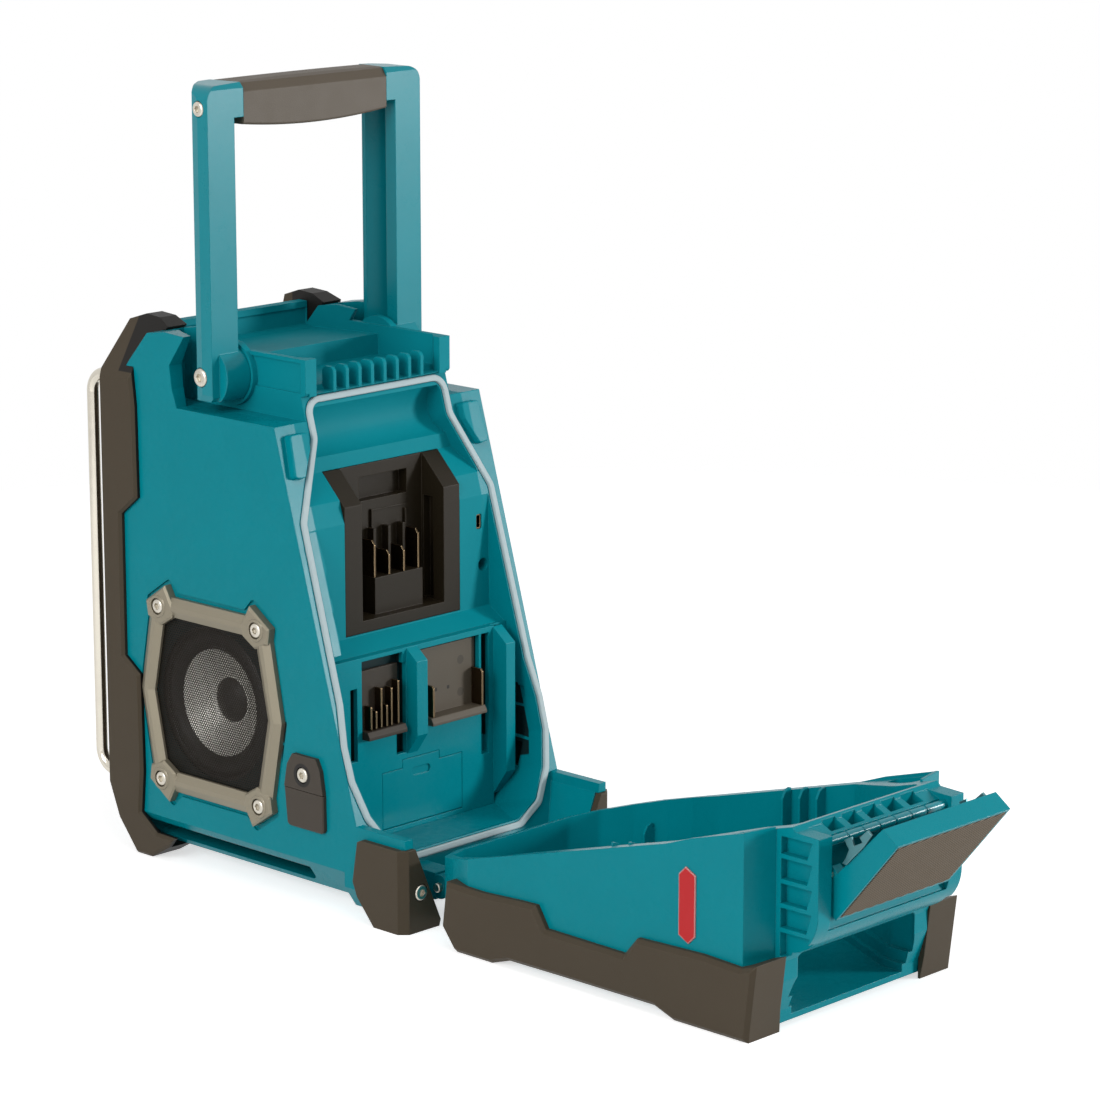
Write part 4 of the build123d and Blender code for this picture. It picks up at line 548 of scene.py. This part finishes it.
    def cheek(self, teal):
        """Thick rear edge of the bay's wall on the loudspeaker side with the inlet."""
        count = len(self.CHEEK)
        points = [
            (x, self.FACE_AT_HINGE - (z - self.HINGE_UP) * self.LEAN - self.CHEEK_SUNK - deep, z)
            for deep in (0.0, self.CHEEK_DEEP) for x, z in self.CHEEK
        ]
        rear = list(range(count))
        faces = [rear[::-1], [count + i for i in rear]]
        faces += [(i, (i + 1) % count, (i + 1) % count + count, i + count) for i in rear]
        piece("bay_cheek", points, faces, teal, "radio")


class RADIO_OT_rubber(bpy.types.Operator):
    """Finish the rubber bumpers and the inlet cover"""

    bl_idname = "radio.rubber"
    bl_label = "Rubber"

    SCREW_RECESS = 0.0066                 # radius of the dark ring round the cover's screw
    STRIP_OUTER = 0.0781                  # outer x of the front bumpers' dark strip
    STRIP_FRONT = -0.2440                 # y where that strip ends towards the front

    def execute(self, context):
        rubber = tuple(context.scene.radio_colours.rubber)
        skin = {
            "edge": 0.55, "grain": 0.0005, "depth": 0.00005, "worn": tone(118, 106, 92),
            "Specular_IOR_Level": 0.2,
        }
        plain = moulded("bumper_rubber", rubber, 0.50, **skin)
        dress(plain, *both("rear_bumper"), *both("lid_bumper"))
        # painted shade: a near black strip where the front bumpers meet the body
        front = moulded(
            "front_bumper_rubber", rubber, 0.50, shade=tone(20, 17, 14), shade_where=self.body_gap_shade,
            **skin,
        )
        dress(front, *both("front_bumper"))
        # painted shade: a dark ring round the screw
        cover = moulded(
            "cover_rubber", tone(60, 53, 45), 0.5, edge=0.6, grain=0.0005, depth=0.00005,
            worn=tone(104, 94, 82), shade=tone(18, 15, 12), shade_where=self.screw_recess_shade,
            Specular_IOR_Level=0.3,
        )
        dress(cover, "dc_cover_tab", "dc_cover_door")
        return {"FINISHED"}

    def screw_recess_shade(self, finish, rim):
        """Painted shade: a dark ring round the cover's screw, standing in for the shade in its recess.
        """
        radius = finish.radius_from(middle("dc_cover_screw"))
        return 1 - radius.rises(self.SCREW_RECESS - 0.0004, self.SCREW_RECESS)

    def body_gap_shade(self, finish, rim):
        """Painted shade: the darker strip of the front bumpers that lies against the body, behind the
        guard bars, stands in for the shadow in the gap.
        """
        near = 1 - finish.along("X").absolute().rises(self.STRIP_OUTER - 0.0003, self.STRIP_OUTER)
        return near * finish.along("Y").above(self.STRIP_FRONT, 0.0010)


class RADIO_OT_mounts(bpy.types.Operator):
    """Finish the battery mounts, their blades and the rear sockets"""

    bl_idname = "radio.mounts"
    bl_label = "Battery mounts"

    MOUNT_WALL = HINGE_LINE - 0.0910      # y of the wall behind the upper mount
    # thin plates on that wall: middle x, width, low z, high z and depth, metres
    GUIDES = [
        (0.0061, 0.0010, 0.1800, 0.2008, 0.0014), (-0.0190, 0.0010, 0.1860, 0.1978, 0.0014),
        (-0.0065, 0.0262, 0.1994, 0.2004, 0.0004), (0.0168, 0.0050, 0.1930, 0.1942, 0.0010),
    ]
    FORK = [(-0.0030, 0.0008, 0.1815, 0.1850, 0.0013), (-0.0071, 0.0009, 0.1830, 0.1885, 0.0014)]
    PLATE_CORNER, PLATE_SUNK = 0.0006, 0.0002

    # x and z of the marks on the plate behind the large terminals, metres
    EJECTOR_MARKS, EJECTOR_RADIUS = [(-0.0319, 0.1156), (-0.0318, 0.0976)], 0.0026
    PIN_HOLES, PIN_HOLE_HALF = [(-0.0130, 0.1022), (-0.0224, 0.1020)], 0.0010

    def execute(self, context):
        colours = context.scene.radio_colours
        dark = moulded(
            "mount_plastic", tuple(colours.mount), 0.40, edge=0.5, grain=0.0003, depth=0.00003,
            worn=tone(92, 82, 70), Specular_IOR_Level=0.15,
        )
        dress(dark, "tool_battery_mount", "dc_jack")
        # painted shade: two small square holes are painted dark
        grey = moulded(
            "terminal_plastic", tone(84, 76, 64), 0.5, depth=0.00004, shade=tone(30, 26, 21),
            shade_where=self.marks_and_hole_shade, Specular_IOR_Level=0.3,
        )
        dress(grey, "large_terminal_block")
        brown = moulded("pin_plastic", tone(54, 47, 39), 0.5, depth=0.00004, Specular_IOR_Level=0.25)
        dress(brown, "small_terminal_block")
        # the blades get painted shade on their flats and a painted highlight along their edges
        brass = metal(
            "contact_brass", tuple(colours.brass), 0.26, stretch=(1, 1, 8), flat_shade=tone(92, 76, 56)
        )
        dress(brass, "mount_terminals", "small_terminals", "large_terminals", "usb_port")
        self.plates("mount_guides", self.GUIDES, dark, "dark_plastic")
        self.plates("fork_pin", self.FORK, brass, "contact_brass")
        return {"FINISHED"}

    def plates(self, name, rows, material, slot):
        """Thin upright plates with a cut upper corner."""
        points, faces, back = [], [], -self.PLATE_SUNK
        for x, width, low, high, deep in rows:
            cut = min(self.PLATE_CORNER, deep / 2)
            outline = [(back, low), (deep, low), (deep, high - cut), (deep - cut, high), (back, high)]
            first, count = len(points), len(outline)
            for edge in (x + width / 2, x - width / 2):
                points += [(edge, self.MOUNT_WALL + out, up) for out, up in outline]
            faces.append(tuple(first + i for i in range(count)))
            faces.append(tuple(first + count + i for i in reversed(range(count))))
            faces += walls(first, count)
        piece(name, points, faces, material, "radio")

    def marks_and_hole_shade(self, finish, rim):
        """Round ejector marks, and painted shade for two small square holes."""
        x, z = finish.along("X"), finish.along("Z")
        wide, half, marks = self.EJECTOR_RADIUS**2, self.PIN_HOLE_HALF, []
        for mark_x, mark_z in self.EJECTOR_MARKS:
            across, up = x - mark_x, z - mark_z
            marks.append(0.45 * (1 - (across * across + up * up).rises(0.8 * wide, wide)))
        for hole_x, hole_z in self.PIN_HOLES:
            across = 1 - (x - hole_x).absolute().rises(half - 0.0001, half)
            marks.append(across * (1 - (z - hole_z).absolute().rises(half - 0.0001, half)))
        return sum(marks).clamped()


class RADIO_OT_steel(bpy.types.Operator):
    """Finish the screws, pins and guard bars"""

    bl_idname = "radio.steel"
    bl_label = "Steel"

    def execute(self, context):
        colours = context.scene.radio_colours
        dress(
            metal("zinc_plate", tuple(colours.steel), 0.28), "frame_screws", "bumper_screws",
            "dc_cover_screw", "grip_screws", "pivot_screws", "hinge_pin", "latch_pin",
        )
        plate = moulded(
            "link_plate", tone(72, 122, 128), 0.3, edge=0.5, grain=0.0005, depth=0.00001,
            worn=tone(150, 180, 182), metal=0.5,
        )
        dress(plate, "latch_links")
        rod = moulded("rod_teal", tuple(colours.teal), 0.22, edge=0.5, Specular_IOR_Level=0.4)
        dress(rod, "latch_rod")
        bar = metal(
            "polished_bar", tuple(colours.steel), 0.13, stretch=(1, 1, 12), scratch=0.000004,
            dulling=0.05,
        )
        dress(bar, *both("guard_bar"))
        return {"FINISHED"}


class RADIO_OT_speakers(bpy.types.Operator):
    """Make the perforated meshes and finish the frames and drivers"""

    bl_idname = "radio.speakers"
    bl_label = "Loudspeakers"

    # corners of the frame opening about its centre, first quarter, metres
    OPENING = [(0.0, 0.0436), (0.0285, 0.0436), (0.038, 0.038), (0.046, 0.0)]
    UNDER_FRAME = 0.0012                  # how far the sheet reaches under the frame
    SHEET_THICK, SHEET_REACH = 0.00025, 0.05
    ROW = sqrt(3) / 2                     # distance between rows, as a share of the pitch
    CONE_RINGS = 5200.0                   # the cone's fine rings, radians for each metre

    def execute(self, context):
        colours, sizes = context.scene.radio_colours, context.scene.radio_sizes
        frame_grey = moulded(
            "frame_grey", tuple(colours.frame), 0.34, grain=0.00025, depth=0.00001,
            worn=tone(196, 190, 176), edge_radius=0.00035, metal=0.45, Specular_IOR_Level=0.3,
        )
        dress(frame_grey, *both("speaker_frame"))
        black = self.mesh_paint()
        for side, sign in SIDES.items():
            self.sheet(side, sign, sizes.mesh_pitch, sizes.mesh_hole / 2, black)
            dress(self.driver(side, colours, sizes), f"{side}_speaker_driver")
        return {"FINISHED"}

    def mesh_paint(self):
        finish = Finish("mesh_paint", Specular_IOR_Level=0.15)
        wear = finish.speckle(0.004, detail=4.0)
        finish.put("Base Color", finish.mix(tone(24, 20, 15), tone(40, 34, 27), wear))
        finish.put("Roughness", 0.45 + 0.15 * wear)
        finish.bump(finish.speckle(0.0003), 0.00001)
        return finish.material

    def inside(self, y, z):
        """Whether a point lies in the opening, widened by what the frame covers."""
        y, z = abs(y), abs(z)
        for (y0, z0), (y1, z1) in zip(self.OPENING, self.OPENING[1:]):
            along = Vector((y1 - y0, z1 - z0)).normalized()
            if (y - y0) * -along.y + (z - z0) * along.x > self.UNDER_FRAME:
                return False
        return True

    def sheet(self, side, sign, pitch, hole, material):
        """Thin sheet of six-sided cells in staggered rows, each with a hole."""
        node = f"{side}_grille_mesh"
        centre, (low, high) = middle(node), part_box(node)
        front = high.x if sign > 0 else low.x
        back = front - sign * self.SHEET_THICK
        turns = [radians(60 * i + 30) for i in range(6)]
        rings = [(front, pitch / sqrt(3)), (front, hole), (back, hole)]
        points, faces = [], []
        rows = int(self.SHEET_REACH / (pitch * self.ROW))
        for row in range(-rows, rows + 1):
            for column in range(-rows, rows + 1):
                y, z = (column + (row % 2) / 2) * pitch, row * pitch * self.ROW
                if not self.inside(y, z):
                    continue
                start, y, z = len(points), centre.y + y, centre.z + z
                for x, radius in rings:
                    points += [(x, y + radius * cos(turn), z + radius * sin(turn)) for turn in turns]
                for ring in (start, start + 6):
                    for i in range(6):
                        j = (i + 1) % 6
                        quad = (ring + i, ring + j, ring + 6 + j, ring + 6 + i)
                        faces.append(quad if sign > 0 else quad[::-1])
        piece(f"{side}_perforated_sheet", points, faces, material, "radio", [node])

    def driver(self, side, colours, sizes):
        """Dark cap, bright cone with fine rings, and dark surround."""
        finish = Finish(f"{side}_cone")
        radius = finish.radius_from(middle(f"{side}_grille_mesh"))
        in_cone = radius.rises(sizes.cap_radius - 0.0004, sizes.cap_radius + 0.0002)
        past_cone = radius.rises(sizes.cone_radius - 0.0003, sizes.cone_radius + 0.0003)
        dull = finish.speckle(0.01, detail=4.0)
        cone = finish.mix(tuple(part * 0.85 for part in colours.cone), tuple(colours.cone), dull)
        inner = finish.mix(tone(40, 37, 34), cone, in_cone)
        finish.put("Base Color", finish.mix(inner, tone(26, 24, 22), past_cone))
        finish.put("Metallic", (in_cone - past_cone).clamped() * 0.5)
        finish.put("Roughness", 0.38 + 0.12 * dull)
        finish.bump((radius * self.CONE_RINGS).sine(), 0.00003)
        return finish.material


class RADIO_OT_handle(bpy.types.Operator):
    """Finish the carrying handle"""

    bl_idname = "radio.handle"
    bl_label = "Handle"

    def execute(self, context):
        colours = context.scene.radio_colours
        teal = moulded("teal_arm", tuple(colours.teal), 0.26, edge=0.45, Specular_IOR_Level=0.25)
        dress(teal, *both("handle_arm"))
        grip = moulded(
            "grip_rubber", tone(70, 60, 46), 0.55, edge=0.4, grain=0.0006, depth=0.00008,
            worn=tone(96, 88, 78),
        )
        dress(grip, "handle_grip")
        dress(metal("core_steel", tuple(colours.steel), 0.35, stretch=(8, 1, 1)), "handle_core")
        return {"FINISHED"}


class RADIO_OT_latch(bpy.types.Operator):
    """Make the ribbed pad of the latch"""

    bl_idname = "radio.latch"
    bl_label = "Latch"

    # middle of the flap's face and its upward direction, in the part's y and z, metres
    FACE = (0.2859 + HINGE_LINE, 0.0818)
    UP = (0.6364, 0.7713)
    PAD_HALF = (0.0416, 0.0272)
    PAD_STEP = 0.00043                    # distance between the points of the pad's mesh
    RIB_HEIGHT = 0.0005
    RIB_ROUNDING = 0.7                    # below 1, the ribs are wide and their valleys narrow
    RIB_LEAN = radians(17)                # the ribs lie askew on the pad
    CROSS_PITCH = 0.0011                  # distance between the cuts across the ribs

    def execute(self, context):
        # painted shade in the valleys between the ribs and in the cuts across them
        rubber = moulded(
            "pad_rubber", tone(110, 97, 80), 0.55, edge=0.3, grain=0.0005, depth=0.00004,
            worn=tone(122, 108, 92), shade=tone(28, 22, 16), shade_where=self.rib_shade,
            Specular_IOR_Level=0.25,
        )
        self.pad(rubber, context.scene.radio_sizes.pad_pitch)
        return {"FINISHED"}

    def rib_shade(self, finish, rim):
        """Painted shade between the ribs and in the fine cuts across them."""
        pitch = bpy.context.scene.radio_sizes.pad_pitch
        across, up = finish.along("X"), (finish.along("Z") - self.FACE[1]) / self.UP[1]
        lean, rise = sin(self.RIB_LEAN), cos(self.RIB_LEAN)
        ribs = (up * rise + across * lean) * (2 * pi / pitch)
        cuts = (across * rise - up * lean) * (2 * pi / self.CROSS_PITCH)
        valleys = 1 - ribs.sine().rises(-0.5, 0.7)
        return (valleys * 0.92 + cuts.sine().rises(0.5, 1.0) * 0.3).clamped()

    def pad(self, rubber, pitch):
        """Closed rubber sheet with fine parallel ribs; its border is sunk into the flap."""
        wide, tall = (round(2 * half / self.PAD_STEP) for half in self.PAD_HALF)
        points, faces, row = [], [], wide + 1
        for j in range(tall + 1):
            for i in range(wide + 1):
                across = (2 * i / wide - 1) * self.PAD_HALF[0]
                up = (2 * j / tall - 1) * self.PAD_HALF[1]
                turn = (up * cos(self.RIB_LEAN) + across * sin(self.RIB_LEAN)) / pitch
                height = self.RIB_HEIGHT * (0.5 + 0.5 * sin(2 * pi * turn)) ** self.RIB_ROUNDING
                if j in (0, tall) or i in (0, wide):
                    height = -self.RIB_HEIGHT
                points.append(self.on_face(across, up, height))
        for j in range(tall):
            for i in range(j * row, j * row + wide):
                faces.append((i, i + row, i + row + 1, i + 1))
        last = wide + tall * row
        border = list(range(wide)) + list(range(wide, last, row))
        border += list(range(last, last - wide, -1)) + list(range(last - wide, 0, -row))
        faces.append(border)
        piece("knurled_pad", points, faces, rubber, "latch", ["latch_pad"], smooth=True)

    def on_face(self, across, up, out):
        """Point on the flap's face, this far across, up and out of it."""
        return (
            across,
            self.FACE[0] + up * self.UP[0] + out * self.UP[1],
            self.FACE[1] + up * self.UP[1] - out * self.UP[0],
        )


class RADIO_OT_front(bpy.types.Operator):
    """Finish the control panel and make the numbers on its display"""

    bl_idname = "radio.front"
    bl_label = "Front panel"

    # the seven bars of a digit, as ends on a grid 1 wide and 2 high, and the bars of each sign
    BARS = [
        ((0, 2), (1, 2)), ((1, 2), (1, 1)), ((1, 1), (1, 0)), ((1, 0), (0, 0)),
        ((0, 0), (0, 1)), ((0, 1), (0, 2)), ((0, 1), (1, 1)),
    ]
    SIGNS = {"1": "12", "2": "01643", "4": "5612", "5": "05623", "8": "0123456", "9": "056123"}
    DOTS = {":": (0.6, 1.4), ".": (0.0,)}   # heights of their dots on that grid
    DOT_HALF = 0.02
    BAR_THICK = 0.13             # half a bar's width, as a share of a digit's width
    DIGIT_WIDE = 0.475           # a digit's width, as a share of its height
    DIGIT_STEP, DOT_STEP = 1.55, 0.55     # room for each sign, as a share of a digit's width
    INK_PROUD = 0.00005          # how far the numbers stand out of the display and reach into it
    # text, height, left x and low z, metres
    NUMBERS = {
        "clock_digits": ("12:45", 0.0175, -0.0335, 0.2035),
        "tuning_digits": ("98.5", 0.0085, 0.0130, 0.1925),
    }

    def execute(self, context):
        dark = moulded("panel_plastic", tone(44, 42, 40), 0.42, edge=0.5, depth=0.00004)
        dress(dark, "front_panel", "socket_cover", "tuning_knob")
        keys = moulded("key_plastic", tone(70, 68, 66), 0.45, edge=0.5)
        dress(keys, "power_button", *[f"preset_button_{i}" for i in range(1, 5)])
        glass = Finish("window_clear", Transmission_Weight=1.0, IOR=1.49)
        glass.put("Base Color", tone(205, 212, 214))
        glass.put("Roughness", 0.03 + 0.05 * glass.speckle(0.02, detail=5.0))
        dress(glass.material, "display_window")
        ink = moulded("display_ink", tone(30, 34, 30), 0.4, edge=0.0, mottle=0.02)
        for name, (text, height, left, low) in self.NUMBERS.items():
            self.digits(name, text, height, ink, left, low)
        crystal = Finish("display_crystal", rough=0.2)
        cloud = crystal.speckle(0.03)
        crystal.put("Base Color", crystal.mix(tone(150, 166, 138), tone(166, 182, 150), cloud))
        crystal.bump(crystal.speckle(0.0006), 0.00001)
        dress(crystal.material, "display_module")
        board = moulded("board_green", tone(26, 92, 54), 0.45, grain=0.001, depth=0.00005)
        dress(board, "main_board")
        return {"FINISHED"}

    def digits(self, name, text, height, ink, left, low):
        """Flat seven-bar numbers on the display, seen from the front."""
        grid = Vector((height * self.DIGIT_WIDE, height / 2))
        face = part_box("display_module")[0].y
        points, faces = [], []
        for sign in text:
            if sign in self.SIGNS:
                bars, step = [self.BARS[int(bar)] for bar in self.SIGNS[sign]], self.DIGIT_STEP
            else:
                bars = [((-self.DOT_HALF, up), (self.DOT_HALF, up)) for up in self.DOTS[sign]]
                step = self.DOT_STEP
            for bar in bars:
                start, end = [Vector((left + x * grid.x, low + z * grid.y)) for x, z in bar]
                self.bar(points, faces, start, end, self.BAR_THICK * grid.x, face)
            left += grid.x * step
        piece(name, points, faces, ink, "radio")

    def bar(self, points, faces, start, end, thick, face):
        """Six-cornered bar between two ends, or a square dot where they lie close together."""
        length, forward = (end - start).length, (end - start).normalized() * thick
        across = Vector((-forward.y, forward.x))
        if length < 2.5 * thick:
            outline = [start - across - forward, start + across - forward]
            outline += [start + across + forward, start - across + forward]
        else:
            near, far = start + forward * 0.25, end - forward * 0.25
            outline = [near, near + forward - across, far - forward - across]
            outline += [far, far - forward + across, near + forward + across]
        first, count = len(points), len(outline)
        for y in (face - self.INK_PROUD, face + self.INK_PROUD):
            points += [(p.x, y, p.y) for p in outline]
        faces.append(tuple(first + i for i in range(count)))
        faces.append(tuple(first + count + i for i in reversed(range(count))))
        faces += walls(first, count)


class RADIO_PT_looks(bpy.types.Panel):
    """Lists the radio's settings and operators"""

    bl_label = "Jobsite radio"
    bl_space_type = "VIEW_3D"
    bl_region_type = "UI"
    bl_category = "Radio"

    def draw(self, context):
        for group in (context.scene.radio_colours, context.scene.radio_sizes):
            for setting in group.bl_rna.properties:
                if setting.identifier not in ("name", "rna_type"):
                    self.layout.prop(group, setting.identifier)
        for operator in OPERATORS:
            self.layout.operator(operator.bl_idname)


GROUPS = {"radio_colours": RadioColours, "radio_sizes": RadioSizes}
OPERATORS = [
    RADIO_OT_stage,
    RADIO_OT_body,
    RADIO_OT_rubber,
    RADIO_OT_mounts,
    RADIO_OT_steel,
    RADIO_OT_speakers,
    RADIO_OT_handle,
    RADIO_OT_latch,
    RADIO_OT_front,
]


def register():
    for kind in [*GROUPS.values(), *OPERATORS, RADIO_PT_looks]:
        bpy.utils.register_class(kind)
    for name, group in GROUPS.items():
        setattr(bpy.types.Scene, name, PointerProperty(type=group))


def unregister():
    for name in GROUPS:
        delattr(bpy.types.Scene, name)
    for kind in [RADIO_PT_looks, *reversed(OPERATORS), *reversed(GROUPS.values())]:
        bpy.utils.unregister_class(kind)


def main():
    register()
    for operator in OPERATORS:
        family, name = operator.bl_idname.split(".")
        getattr(getattr(bpy.ops, family), name)()


if __name__ == "__main__":
    main()
